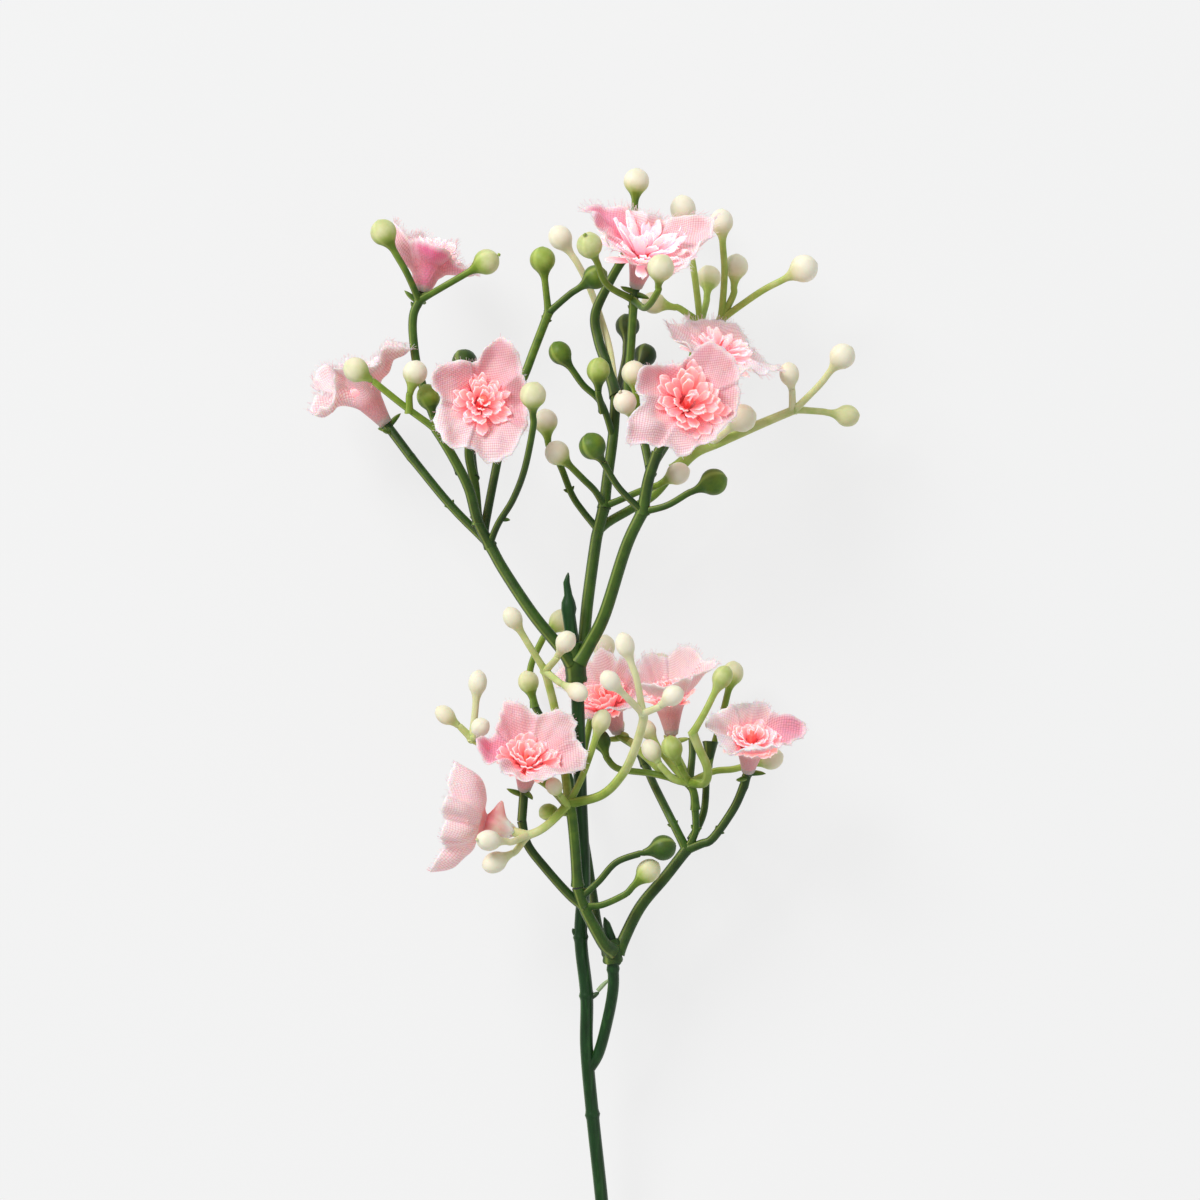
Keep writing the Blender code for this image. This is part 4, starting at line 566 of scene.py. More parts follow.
class GeometryTree(Tree):
    """A geometry tree with named inputs, which ends in real geometry with a material."""

    def __init__(self, name: str, numbers: dict[str, float]) -> None:
        """Make a tree with a geometry input, some numbers and a finish.

        Args:
            name: The tree's name.
            numbers: Default value of each named number; a whole one makes a whole input.
        """
        group = bpy.data.node_groups.new(name, "GeometryNodeTree")
        super().__init__(group)
        group.interface.new_socket("Geometry", in_out="OUTPUT", socket_type="NodeSocketGeometry")
        kinds = {label: "Int" if isinstance(number, int) else "Float" for label, number in numbers.items()}
        self.identifiers: dict[str, str] = {}
        for label, kind in {"Geometry": "Geometry", **kinds, "Finish": "Material"}.items():
            socket = group.interface.new_socket(label, in_out="INPUT", socket_type="NodeSocket" + kind)
            if label in numbers:
                socket.default_value = numbers[label]
            self.identifiers[label] = socket.identifier
        self.given = self.add("NodeGroupInput").outputs

    def named(self, attribute: str, kind: str = "FLOAT") -> NodeSocket:
        """A named attribute's value."""
        return self.out("GeometryNodeInputNamedAttribute", {"Name": attribute}, data_type=kind)

    def random(self, low: object, high: object, seed: object) -> NodeSocket:
        """A random number for each element."""
        node = self.add("FunctionNodeRandomValue", {2: low, 3: high, "Seed": seed}, data_type="FLOAT")
        return node.outputs[1]

    def close(self, geometry: NodeSocket) -> None:
        """Realize the geometry, give it the finish and make it the tree's output.

        Args:
            geometry: What the tree has made.
        """
        smooth = self.out("GeometryNodeSetShadeSmooth", {0: geometry})
        solid = self.out("GeometryNodeRealizeInstances", {0: smooth})
        done = self.out("GeometryNodeSetMaterial", {0: solid, "Material": self.given["Finish"]})
        self.add("NodeGroupOutput", {0: done})

    def realised(self, name: str, mesh: Mesh, values: dict[str, object]) -> Mesh:
        """Run a mesh through the tree.

        Args:
            name: Name of the result.
            mesh: The mesh that the tree starts from.
            values: Values of the tree's named inputs.

        Returns:
            A plain mesh.
        """
        holder = linked(name + "_source", mesh)
        modifier = holder.modifiers.new(name, "NODES")
        modifier.node_group = self.tree
        for label, value in values.items():
            modifier[self.identifiers[label]] = value
        graph = bpy.context.evaluated_depsgraph_get()
        result = bpy.data.meshes.new_from_object(holder.evaluated_get(graph), depsgraph=graph)
        result.name = name
        holder.modifiers.clear()
        bpy.data.objects.remove(holder, do_unlink=True)
        return result


class RunTree(GeometryTree):
    """Moulded runs: a tube along each chain of edges, with a parting line on both its sides."""

    def __init__(self) -> None:
        """Build the tree."""
        super().__init__("moulded_run", {"Sides": 16, "Parting Line": 0.00009, "Parting Turn": 0.5})
        curve = self.out("GeometryNodeMeshToCurve", {0: self.given["Geometry"]})
        curve = self.out("GeometryNodeSetCurveNormal", {0: curve}, mode="Z_UP")
        circle = self.out("GeometryNodeCurvePrimitiveCircle", {0: self.given["Sides"], "Radius": 1.0})
        turn = self.vector(z=self.given["Parting Turn"])
        circle = self.out("GeometryNodeTransform", {"Geometry": circle, "Rotation": turn})
        share = self.math("DIVIDE", self.out("GeometryNodeInputIndex"), self.given["Sides"])
        # flank is 1 on both sides of a run: it raises the real parting ridge, and the shaders paint rim light
        # and highlight lines from it
        flank = self.math("ABSOLUTE", self.math("COSINE", self.times(share, 2 * math.pi)))
        circle = self.out("GeometryNodeStoreNamedAttribute", {
            "Geometry": circle, "Name": "flank", "Value": flank}, data_type="FLOAT", domain="POINT")
        tube = self.out("GeometryNodeCurveToMesh", {
            "Curve": curve, "Profile Curve": circle, "Scale": self.named("girth"), "Fill Caps": True})
        ridge = self.math("POWER", self.named("flank"), PARTING_SHARPNESS)
        height = self.times(ridge, self.given["Parting Line"])
        push = self.scaled(self.out("GeometryNodeInputNormal"), height)
        self.close(self.out("GeometryNodeSetPosition", {"Geometry": tube, "Offset": push}))


class RingTree(GeometryTree):
    """A ring of small petals round a bloom's axis, each a copy of the mesh that it is given."""

    def __init__(self) -> None:
        """Build the tree."""
        super().__init__("petal_ring", {
            "Count": 6, "Ring Radius": 0.002, "Height": 0.006, "Lean": 0.8, "Turn": 0.0, "Width": 1.0,
            "Length": 1.0, "Unevenness": 0.17, "Seed": 1})
        share = self.math("DIVIDE", self.out("GeometryNodeInputIndex"), self.given["Count"])
        angle = self.math("MULTIPLY_ADD", share, 2 * math.pi, self.given["Turn"])
        angle = self.math("ADD", angle, self.uneven(1.7, 1))
        radius = self.given["Ring Radius"]
        height = self.math("MULTIPLY_ADD", self.uneven(1.0, 2), MM, self.given["Height"])
        place = self.vector(self.times(self.math("COSINE", angle), radius),
                            self.times(self.math("SINE", angle), radius), height)
        points = self.out("GeometryNodePoints", {"Count": self.given["Count"]})
        points = self.out("GeometryNodeSetPosition", {"Geometry": points, "Position": place})
        lean = self.math("ADD", self.given["Lean"], self.uneven(1.7, 3))
        turned = self.vector(self.uneven(1.5, 4), lean, angle)
        size = self.vector(1.0, self.math("ADD", self.given["Width"], self.uneven(1.0, 5)),
                           self.math("ADD", self.given["Length"], self.uneven(0.9, 6)))
        self.close(self.out("GeometryNodeInstanceOnPoints", {
            "Points": points, "Instance": self.given["Geometry"], "Scale": size,
            "Rotation": self.out("FunctionNodeEulerToRotation", {0: turned})}))

    def uneven(self, share: float, stream: int) -> NodeSocket:
        """A random number up to a share of the tree's unevenness, either way.

        Args:
            share: The share.
            stream: A number that tells this draw from others.

        Returns:
            The random number.
        """
        seed = self.math("MULTIPLY_ADD", self.given["Seed"], 7.0, float(stream))
        most = self.given["Unevenness"]
        return self.random(self.times(most, -share), self.times(most, share), seed)


class FrayTree(GeometryTree):
    """Loose threads along a cut edge, each a thin bent tube that leaves it at random."""

    def __init__(self) -> None:
        """Build the tree."""
        super().__init__("frayed_edge", {
            "Thread Length": 0.001, "Thread Radius": 0.00004, "Spread": 0.6, "Seed": 1})
        length, seed = self.given["Thread Length"], self.given["Seed"]
        thread = self.out("GeometryNodeCurveQuadraticBezier", {
            "Resolution": 4, "Start": (0.0, 0.0, 0.0),
            "Middle": self.vector(self.times(length, 0.1), 0.0, self.times(length, 0.55)),
            "End": self.vector(self.times(length, 0.25), 0.0, length)})
        section = self.out("GeometryNodeCurvePrimitiveCircle", {0: 3, "Radius": self.given["Thread Radius"]})
        thread = self.out("GeometryNodeCurveToMesh", {
            "Curve": thread, "Profile Curve": section, "Fill Caps": True})
        stray = self.out("FunctionNodeRandomValue", {
            "Min": (-1.0, -1.0, -1.0), "Max": (1.0, 1.0, 1.0), "Seed": seed}, data_type="FLOAT_VECTOR")
        heading = self.out("ShaderNodeVectorMath", {
            0: self.named("heading", "FLOAT_VECTOR"), 1: self.scaled(stray, self.given["Spread"])},
            operation="ADD")
        self.close(self.out("GeometryNodeInstanceOnPoints", {
            "Points": self.given["Geometry"], "Instance": thread, "Scale": self.random(0.35, 1.25, seed),
            "Rotation": self.out("FunctionNodeAlignRotationToVector", {"Vector": heading}, axis="Z")}))


class ShaderTree(Tree):
    """A material's tree, with one principled shader."""

    def __init__(self, name: str, roughness: float, **constants: float) -> None:
        """Make a material with its shader.

        Args:
            name: The material's name.
            roughness: The shader's roughness.
            **constants: Other inputs of the shader, with spaces as underscores.
        """
        self.material = bpy.data.materials.new(name)
        self.material.use_nodes = True
        super().__init__(self.material.node_tree)
        self.shader = self.add("ShaderNodeBsdfPrincipled", {"Roughness": roughness})
        for key, value in constants.items():
            self.shader.inputs[key.replace("_", " ")].default_value = value
        self.add("ShaderNodeOutputMaterial", {0: self.shader.outputs[0]})

    def attribute(self, name: str, gain: float = 1.0) -> NodeSocket:
        """A mesh attribute's number, times a gain."""
        return self.times(self.add("ShaderNodeAttribute", attribute_name=name).outputs["Fac"], gain)

    def noise(self, scale: float, detail: float = 3.0, stretch: Spot = (1.0, 1.0, 1.0),
              source: NodeSocket | None = None) -> NodeSocket:
        """Noise on the object's coordinates, or on the source that is given.

        Args:
            scale: How fine it is.
            detail: Its number of octaves.
            stretch: A factor on the coordinates along each axis.
            source: Coordinates to use instead of the object's.

        Returns:
            The noise, from 0 to 1.
        """
        where = source or self.add("ShaderNodeTexCoord").outputs["Object"]
        where = self.out("ShaderNodeMapping", {"Vector": where, "Scale": stretch})
        node = self.add("ShaderNodeTexNoise", {"Vector": where, "Scale": scale, "Detail": detail})
        return node.outputs["Fac"]

    def ramp(self, factor: NodeSocket, *stops: tuple[float, str]) -> NodeSocket:
        """A colour ramp over a number, from each stop's place and colour.

        Args:
            factor: The number.
            *stops: Place and hexadecimal colour of each stop.

        Returns:
            The colour.
        """
        node = self.add("ShaderNodeValToRGB", {0: factor})
        elements = node.color_ramp.elements
        while len(elements) < len(stops):
            elements.new(0.5)
        for element, (position, code) in zip(elements, stops):
            element.position = position
            element.color = srgb(code)
        return node.outputs[0]

    def mix(self, share: object, first: object, second: object, blend_type: str = "MIX") -> NodeSocket:
        """Two colours mixed, each a socket or a hexadecimal code.

        Args:
            share: How much of the second one shows.
            first: The lower colour.
            second: The upper colour.
            blend_type: How they are mixed.

        Returns:
            The mixed colour.
        """
        first, second = (srgb(value) if isinstance(value, str) else value for value in (first, second))
        node = self.add("ShaderNodeMix", data_type="RGBA", blend_type=blend_type)
        for slot, value in ((0, share), (6, first), (7, second)):
            if isinstance(value, NodeSocket):
                self.tree.links.new(value, node.inputs[slot])
            else:
                node.inputs[slot].default_value = value
        return node.outputs[2]

    def coats(self, colour: object, *layers: tuple[object, object]) -> NodeSocket:
        """A colour with others laid over it in turn, each by its own share.

        Args:
            colour: The lowest colour.
            *layers: Share and colour of each coat.

        Returns:
            The colour that shows.
        """
        for share, layer in layers:
            colour = self.mix(share, colour, layer)
        return colour

    def span(self, value: object, low: float, high: float, to_low: float = 0.0,
             to_high: float = 1.0) -> NodeSocket:
        """A number taken from one range to another, and kept inside it."""
        return self.out("ShaderNodeMapRange", {0: value, 1: low, 2: high, 3: to_low, 4: to_high})

    def link(self, name: str, value: NodeSocket) -> None:
        """Link a value to one of the shader's inputs."""
        self.tree.links.new(value, self.shader.inputs[name])

    def bump(self, height: NodeSocket, strength: float, distance: float) -> None:
        """Bump the shader's normal, by a distance in metres."""
        self.link("Normal", self.out("ShaderNodeBump", {
            "Height": height, "Strength": strength, "Distance": distance}))

    def painted_glow(self, colour: NodeSocket) -> None:
        """Link a colour to the shader's base and to its emission: a painted glow in that colour."""
        self.link("Base Color", colour)
        self.link("Emission Color", colour)


@dataclass(frozen=True)
class MouldedPlastic:
    """Soft moulded plastic whose colour runs from dark green through lime to ivory, with painted rim light on
    the sides of its runs and a painted highlight line along its parting ridge.
    """

    name: str = "moulded_plastic"
    roughness: float = 0.5
    stops: tuple[tuple[float, str], ...] = (
        (0.0, "0f2a09"), (0.12, "1e400b"), (0.24, "375b0e"), (0.4, "6f8b22"), (0.55, "a1b656"),
        (0.7, "cdcf97"), (0.84, "e2ddbc"), (1.0, "efead6"))

    def material(self) -> Material:
        """Build the material.

        Returns:
            The material.
        """
        tree = ShaderTree(self.name, self.roughness, Subsurface_Weight=0.15, Subsurface_Scale=0.001,
                          Specular_IOR_Level=0.35, Sheen_Weight=0.12, Sheen_Roughness=0.35)
        blotch = tree.span(tree.noise(520.0, 5.0), 0.3, 0.7, -0.05, 0.05)
        colour = tree.ramp(tree.math("ADD", tree.attribute("tone"), blotch), *self.stops)
        # The sides of each run are painted lighter where flank is high: painted rim light
        flank = tree.attribute("flank")
        painted_rim_light = tree.mix(0.4, colour, "b9c25a", "SCREEN")
        colour = tree.mix(tree.span(flank, 0.5, 1.0, 0.0, 0.2), colour, painted_rim_light)
        # The parting ridge is a real seam; the lighter colour laid along it is a painted highlight line
        parting = tree.mix(0.5, colour, "b9c96a", "SCREEN")
        tree.link("Base Color", tree.mix(tree.span(flank, 0.95, 0.985, 0.0, 0.6), colour, parting))
        fine = tree.noise(2600.0, 3.0)
        tree.link("Roughness", tree.span(fine, 0.3, 0.7, self.roughness - 0.06, self.roughness + 0.1))
        tree.bump(fine, 0.3, 0.0001)
        return tree.material


@dataclass(frozen=True)
class StemCoating:
    """Dark green plastic coating with fine lengthwise streaks and a painted highlight line along its sides.
    """

    name: str = "stem_coating"

    def material(self) -> Material:
        """Build the material.

        Returns:
            The material.
        """
        tree = ShaderTree(self.name, 0.36, Specular_IOR_Level=0.3, Subsurface_Weight=0.05,
                          Subsurface_Scale=0.0005)
        streaks = tree.noise(1500.0, 4.0, (1.0, 0.06, 1.0))
        clouds = tree.noise(120.0, 2.0)
        green = tree.ramp(streaks, (0.25, "0e2a0e"), (0.55, "183c17"), (0.8, "2a5820"))
        # The pale line where flank is near 1 is a painted highlight along the stem's sides; the clouds and
        # the hooks' tone are the coating's own colour
        tree.link("Base Color", tree.coats(
            green, (tree.span(clouds, 0.4, 0.75, 0.0, 0.35), "204b26"),
            (tree.span(tree.attribute("flank"), 0.93, 0.98, 0.0, 0.45), "6d9150"),
            (tree.attribute("tone"), "a9bf8e")))
        tree.link("Roughness", tree.span(clouds, 0.3, 0.7, 0.3, 0.44))
        tree.bump(streaks, 0.25, 0.00008)
        return tree.material


@dataclass(frozen=True)
class WovenFabric:
    """Printed plain weave: a straight grid on the flat cut sheet, paler at its cut edge, with painted shade
    in greyer pink on some petals.
    """

    name: str = "woven_petal"
    pitch: float = 0.46
    body: str = "f9d5d8"
    cloud: str = "f3b7bf"
    painted_shade: str = "d79fa8"
    patch: str = "d9a0ab"
    pale: str = "fbe8eb"
    deep: str = "ff989d"
    cone: str = "df9c9c"
    flush: str = "fa6fa4"
    shade: str = "cf8490"
    rim: str = "fff4f5"
    foot: str = "b9a39c"

    def material(self) -> Material:
        """Build the material.

        Returns:
            The material.
        """
        tree = ShaderTree(self.name, 0.7, Subsurface_Weight=0.4, Subsurface_Scale=0.0015,
                          Specular_IOR_Level=0.25, Sheen_Weight=0.3, Sheen_Roughness=0.5)
        sheet = tree.out("ShaderNodeUVMap", uv_map="sheet")
        axes = tree.add("ShaderNodeSeparateXYZ", {0: sheet}).outputs
        turns = math.pi * SHEET_WIDTH / self.pitch
        across, along = (tree.math("SINE", tree.times(axes[at], turns)) for at in (0, 1))
        gaps = tree.times(tree.math("ABSOLUTE", across), tree.math("ABSOLUTE", along))
        patches = tree.noise(7.0, 2.0, source=sheet)
        pale = tree.attribute("pale")
        # Greyer pink patches over the outer part of the chosen petals: painted shade
        painted_shade = tree.times(tree.attribute("painted_shade"), tree.span(patches, 0.3, 0.65, 0.35, 0.8))
        weave = tree.times(tree.span(gaps, 0.05, 0.5, 0.8, 0.0), tree.span(pale, 0.0, 1.0, 1.0, 0.4))
        body = tree.coats(
            self.body, (tree.span(tree.noise(3.4, 3.0, source=sheet), 0.4, 0.7), self.cloud),
            (painted_shade, self.painted_shade), (tree.span(patches, 0.55, 0.75, 0.0, 0.3), self.patch), (pale, self.pale),
            (tree.attribute("core", 0.85), self.deep), (tree.attribute("cone"), self.cone),
            (tree.attribute("flush", 0.9), self.flush), (weave, self.shade),
            (tree.attribute("rim", 0.7), self.rim), (tree.attribute("foot"), self.foot))
        tree.link("Base Color", body)
        tree.bump(tree.times(across, along), 0.35, 0.00007)
        return tree.material


@dataclass(frozen=True)
class RosettePetal:
    """Fine fabric of the inner petals: coral at the root, with a bright thick rim and a painted glow that
    lifts their shade.
    """

    name: str = "rosette_petal"
    stops: tuple[tuple[float, str], ...] = (
        (0.0, "f8757b"), (0.4, "f88a90"), (0.8, "f9a3a8"), (1.0, "fcc3c6"))
    faded: tuple[tuple[float, str], ...] = ((0.0, "f39fb7"), (0.45, "f9c6d2"), (1.0, "fee9ed"))
    rim: str = "ffe2e2"
    grain: str = "f58f98"

    def material(self) -> Material:
        """Build the material.

        Returns:
            The material.
        """
        # Emission Strength makes the heart glow in its own colour: a painted glow that fills the shade
        # between the small petals
        tree = ShaderTree(self.name, 0.6, Subsurface_Weight=0.9, Subsurface_Scale=0.003,
                          Specular_IOR_Level=0.1, Emission_Strength=0.4)
        grain = tree.noise(2200.0, 2.0)
        reach = tree.attribute("reach")
        tree.painted_glow(tree.coats(
            tree.ramp(reach, *self.stops), (tree.attribute("rim", 0.38), self.rim),
            (tree.attribute("pale"), tree.ramp(reach, *self.faded)),
            (tree.span(grain, 0.3, 0.75, 0.0, 0.12), self.grain)))
        tree.bump(grain, 0.2, 0.00008)
        return tree.material


@dataclass(frozen=True)
class Thread:
    """Loose white and pink threads."""

    name: str = "loose_thread"

    def material(self) -> Material:
        """Build the material.

        Returns:
            The material.
        """
        tree = ShaderTree(self.name, 0.8, Specular_IOR_Level=0.2, Subsurface_Weight=0.2,
                          Subsurface_Scale=0.0004)
        tree.link("Base Color", tree.ramp(tree.noise(900.0, 1.0), (0.35, "f7c3cd"), (0.6, "fff4f4")))
        return tree.material


@dataclass(frozen=True)
class CoralPlug:
    """Translucent coral plastic of the plugs, yellower in places."""

    name: str = "coral_plug"

    def material(self) -> Material:
        """Build the material.

        Returns:
            The material.
        """
        tree = ShaderTree(self.name, 0.35, Subsurface_Weight=0.4, Subsurface_Scale=0.0015)
        clouds = tree.noise(700.0, 3.0)
        tree.link("Base Color", tree.ramp(clouds, (0.3, "f4636d"), (0.6, "fb8c7c"), (0.8, "fdb37c")))
        tree.bump(clouds, 0.2, 0.0001)
        return tree.material


@dataclass(frozen=True)
class CoralGauze:
    """Thin coral gauze that lets light through, with a faint painted glow, paler in places and towards its
    torn end.
    """

    name: str = "coral_gauze"

    def material(self) -> Material:
        """Build the material.

        Returns:
            The material.
        """
        # Emission Strength gives the gauze a faint glow in its own colour: a painted glow
        tree = ShaderTree(self.name, 0.5, Subsurface_Weight=0.8, Subsurface_Scale=0.003,
                          Specular_IOR_Level=0.2, Emission_Strength=0.15)
        clouds = tree.noise(420.0, 3.0)
        reach = tree.attribute("reach")
        tree.painted_glow(tree.coats(
            tree.ramp(clouds, (0.3, "f4828a"), (0.5, "f8a59b"), (0.75, "fbc8b8")),
            (tree.span(reach, 0.1, 0.35, 0.6, 0.0), "ee5f68"),
            (tree.span(reach, 0.6, 1.0, 0.0, 0.9), "f6ecdf")))
        tree.bump(clouds, 0.15, 0.0001)
        return tree.material


@dataclass(frozen=True)
class DrawnWire:
    """Drawn steel wire with fine lengthwise lines."""

    name: str = "drawn_wire"

    def material(self) -> Material:
        """Build the material.

        Returns:
            The material.
        """
        tree = ShaderTree(self.name, 0.32, Metallic=1.0)
        lines = tree.noise(4000.0, 2.0, (1.0, 0.04, 1.0))
        tree.link("Base Color", tree.ramp(lines, (0.3, "8d9093"), (0.7, "c3c5c7")))
        tree.bump(lines, 0.2, 0.00004)
        return tree.material


@dataclass(frozen=True)
class PaleSurface:
    """The pale surface that the stem lies on."""

    name: str = "pale_surface"

    def material(self) -> Material:
        """Build the material.

        Returns:
            The material.
        """
        tree = ShaderTree(self.name, 0.9, Specular_IOR_Level=0.1, Emission_Strength=0.76)
        tree.shader.inputs["Emission Color"].default_value = WHITE
        tree.link("Base Color", tree.ramp(tree.noise(3.0, 2.0), (0.3, "616262"), (0.7, "656565")))
        return tree.material


@dataclass
class Chain:
    """Stations of one moulded run, in millimetres: places, radii and tones."""

    places: list[Vector] = field(default_factory=list)
    girths: list[float] = field(default_factory=list)
    tones: list[float] = field(default_factory=list)

    def add(self, place: Vector, girth: float, tone: float) -> None:
        """Add a station, unless it lies on the last one.

        Args:
            place: The place.
            girth: The radius.
            tone: The tone.
        """
        if not self.places or (place - self.places[-1]).length > CLOSEST:
            self.places.append(place)
            self.girths.append(girth)
            self.tones.append(tone)


def ease(value: float) -> float:
    """A number kept between 0 and 1 and eased at both ends."""
    value = min(1.0, max(0.0, value))
    return value * value * (3 - 2 * value)


def blend(first: float, second: float, share: float) -> float:
    """A number between two others."""
    return first + (second - first) * share


def hill(offset: float, width: float) -> float:
    """A smooth hill of height 1, at some offset from its middle."""
    return math.exp(-(offset / width) ** 2)


def turned(degrees: float) -> float:
    """An angle brought between -180 and 180 degrees."""
    return (degrees + 180) % 360 - 180


def sunk(route: Sequence[Iterable[float]], depth: float = 0.35) -> list[Vector]:
    """A route whose first place is moved back into what it grows from."""
    points = [Vector(point) for point in route]
    return [points[0] + (points[0] - points[1]).normalized() * depth] + points[1:]


def smooth(route: Sequence[Iterable[float]], spacing: float = 0.55) -> list[Vector]:
    """Places along a smooth curve through a route.

    Args:
        route: The places it runs through.
        spacing: Greatest distance between two places.

    Returns:
        The places, from the first to the last of the route.
    """
    knots = [Vector(point) for point in route]
    knots = [knots[0] * 2 - knots[1], *knots, knots[-1] * 2 - knots[-2]]
    places = []
    for index in range(1, len(knots) - 2):
        a, b, c, d = knots[index - 1:index + 3]
        steps = max(3, math.ceil((c - b).length / spacing))
        for step in range(steps):
            t = step / steps
            places.append(0.5 * (2 * b + (c - a) * t + (2 * a - 5 * b + 4 * c - d) * t ** 2
                                 + (3 * b - a - 3 * c + d) * t ** 3))
    places.append(knots[-2])
    return places


def travelled(places: Sequence[Vector]) -> list[float]:
    """Distance from the first place to each of the places, along them.

    Args:
        places: The places, in order.

    Returns:
        The distances, the first one 0.
    """
    found = [0.0]
    for first, second in zip(places, places[1:]):
        found.append(found[-1] + (second - first).length)
    return found


def arm_chain(item: Arm, flare: float = 0.3) -> Chain:
    """An arm that swells a little at both its ends.

    Args:
        item: The arm.
        flare: How much it swells at its root.

    Returns:
        Its stations.
    """
    chain = Chain()
    places = smooth(sunk(item.route))
    gone = travelled(places)
    for place, at in zip(places, gone):
        share = at / gone[-1]
        swell = 1 + flare * math.exp(-at / 1.1) + 0.4 * flare * math.exp((at - gone[-1]) / 0.9)
        chain.add(place, blend(*item.radii, share) * swell, blend(*item.tones, ease(share)))
    return chain


def bud_chain(item: Bud) -> Chain:
    """A bud with its trumpet-shaped neck on its stalk.

    Args:
        item: The bud.

    Returns:
        Its stations, from the root of its stalk to its tip.
    """
    chain = Chain()
    route = sunk(item.route)
    centre, before = route[-1], route[-2]
    axis = (centre - before).normalized()
    reach = item.radius * item.stretch
    neck_length = min(NECK_LENGTH * reach, 0.9 * (centre - before).length)
    places = smooth([*route[:-1], centre - axis * neck_length], 0.5)
    gone = travelled(places)
    total = gone[-1] + neck_length
    for place, at in zip(places, gone):
        girth = STALK_RADIUS * (1 + STALK_FLARE * math.exp(-at))
        chain.add(place, girth, blend(*item.tones, 0.3 * (at / total) ** 1.6))
    joined = item.radius * math.sqrt(1 - NECK_JOIN * NECK_JOIN)
    for step in range(1, NECK_STEPS):
        share = step / NECK_STEPS
        spot = centre - axis * blend(neck_length, NECK_JOIN * reach, share)
        girth = blend(STALK_RADIUS, joined, share ** 2.3)
        chain.add(spot, girth, blend(*item.tones, 0.3 * (gone[-1] / total) ** 1.6 + 0.25 * share ** 2))
    start = math.asin(-NECK_JOIN)
    for step in range(BUD_STEPS + 1):
        turn = blend(start, math.pi / 2 - 0.07, step / BUD_STEPS)
        share = blend(0.5, 1.0, ease((step + 1) / 7))
        place = centre + axis * (reach * math.sin(turn))
        chain.add(place, item.radius * math.cos(turn), blend(*item.tones, share))
    if item.nib:
        for along, girth in NIB:
            chain.add(centre + axis * reach * along, item.radius * girth, item.tones[1] - 0.2)
    return chain


def spike_chain(foot: Vector, direction: Vector, length: float, girth: float, tone: float) -> Chain:
    """A thin pointed leaf or barb that bends a little towards its tip.

    Args:
        foot: Where it starts.
        direction: Where it points.
        length: Its length.
        girth: Its radius near the foot.
        tone: Its tone at the foot.

    Returns:
        Its stations.
    """
    chain = Chain()
    direction = direction.normalized()
    side = direction.cross(Vector((0.3, 0.2, 1.0))).normalized()
    for step in range(SPIKE_STEPS + 1):
        t = step / SPIKE_STEPS
        spot = foot + direction * (length * t) + side * (0.1 * length * t * t)
        chain.add(spot, girth * (1 - t) ** 0.7 * (0.75 + 0.9 * t) + 0.03, tone + 0.08 * t)
    return chain


def chain_mesh(name: str, chains: Sequence[Chain]) -> Mesh:
    """Edges along every chain, with its radii and tones as attributes.

    Args:
        name: The mesh's name.
        chains: The chains.

    Returns:
        A mesh of loose chains of edges, in metres.
    """
    points, edges, girths, tones = [], [], [], []
    for chain in chains:
        first = len(points)
        points += [world(place) for place in chain.places]
        edges += [(at, at + 1) for at in range(first, len(points) - 1)]
        girths += [girth * MM for girth in chain.girths]
        tones += chain.tones
    mesh = bpy.data.meshes.new(name)
    mesh.from_pydata(points, edges, [])
    mesh.attributes.new("girth", "FLOAT", "POINT").data.foreach_set("value", girths)
    mesh.attributes.new("tone", "FLOAT", "POINT").data.foreach_set("value", tones)
    return mesh


def grid(size: int, rows: int, closed: bool = True) -> list[tuple[int, ...]]:
    """Faces between the columns of a grid of places, round to the first column or open.

    Args:
        size: Number of places.
        rows: Number of places in a column.
        closed: Whether the last column is joined to the first.

    Returns:
        The faces, as numbers of places.
    """
    faces = []
    for near in range(0, size if closed else size - rows, rows):
        far = (near + rows) % size
        faces += [(near + row, near + row + 1, far + row + 1, far + row) for row in range(rows - 1)]
    return faces


def shell(name: str, outside: Sequence[Vector], inside: Sequence[Vector], rows: int, finish: Material,
          marks: dict[str, Sequence[float]], closed: bool = True) -> Mesh:
    """A thin shell between two grids of places.

    Args:
        name: The mesh's name.
        outside: Places of one grid, column by column.
        inside: Places of the other one, in the same order.
        rows: Number of places in a column.
        finish: The shell's material.
        marks: Values of each attribute, at the outside places and then at the inside ones.
        closed: Whether the last column is joined to the first.

    Returns:
        A closed mesh, rim and all.
    """
    size = len(outside)
    faces = grid(size, rows, closed)
    faces += [tuple(size + at for at in reversed(face)) for face in faces]
    for near in range(0, size if closed else size - rows, rows):
        far = (near + rows) % size
        faces += [(near + row, far + row, far + row + size, near + row + size) for row in (0, rows - 1)]
    if not closed:
        for first in (0, size - rows):
            faces += [(at, at + 1, at + 1 + size, at + size) for at in range(first, first + rows - 1)]
    mesh = bpy.data.meshes.new(name)
    mesh.from_pydata([*outside, *inside], [], faces)
    for key, values in marks.items():
        mesh.attributes.new(key, "FLOAT", "POINT").data.foreach_set("value", values)
    soup = bmesh.new()
    soup.from_mesh(mesh)
    bmesh.ops.recalc_face_normals(soup, faces=soup.faces)
    soup.to_mesh(mesh)
    soup.free()
    mesh.shade_smooth()
    mesh.materials.append(finish)
    return mesh


def linked(name: str, data: object) -> Object:
    """A new object in the scene.

    Args:
        name: The object's name.
        data: Its mesh, light or lens.

    Returns:
        The object.
    """
    item = bpy.data.objects.new(name, data)
    bpy.context.scene.collection.objects.link(item)
    return item


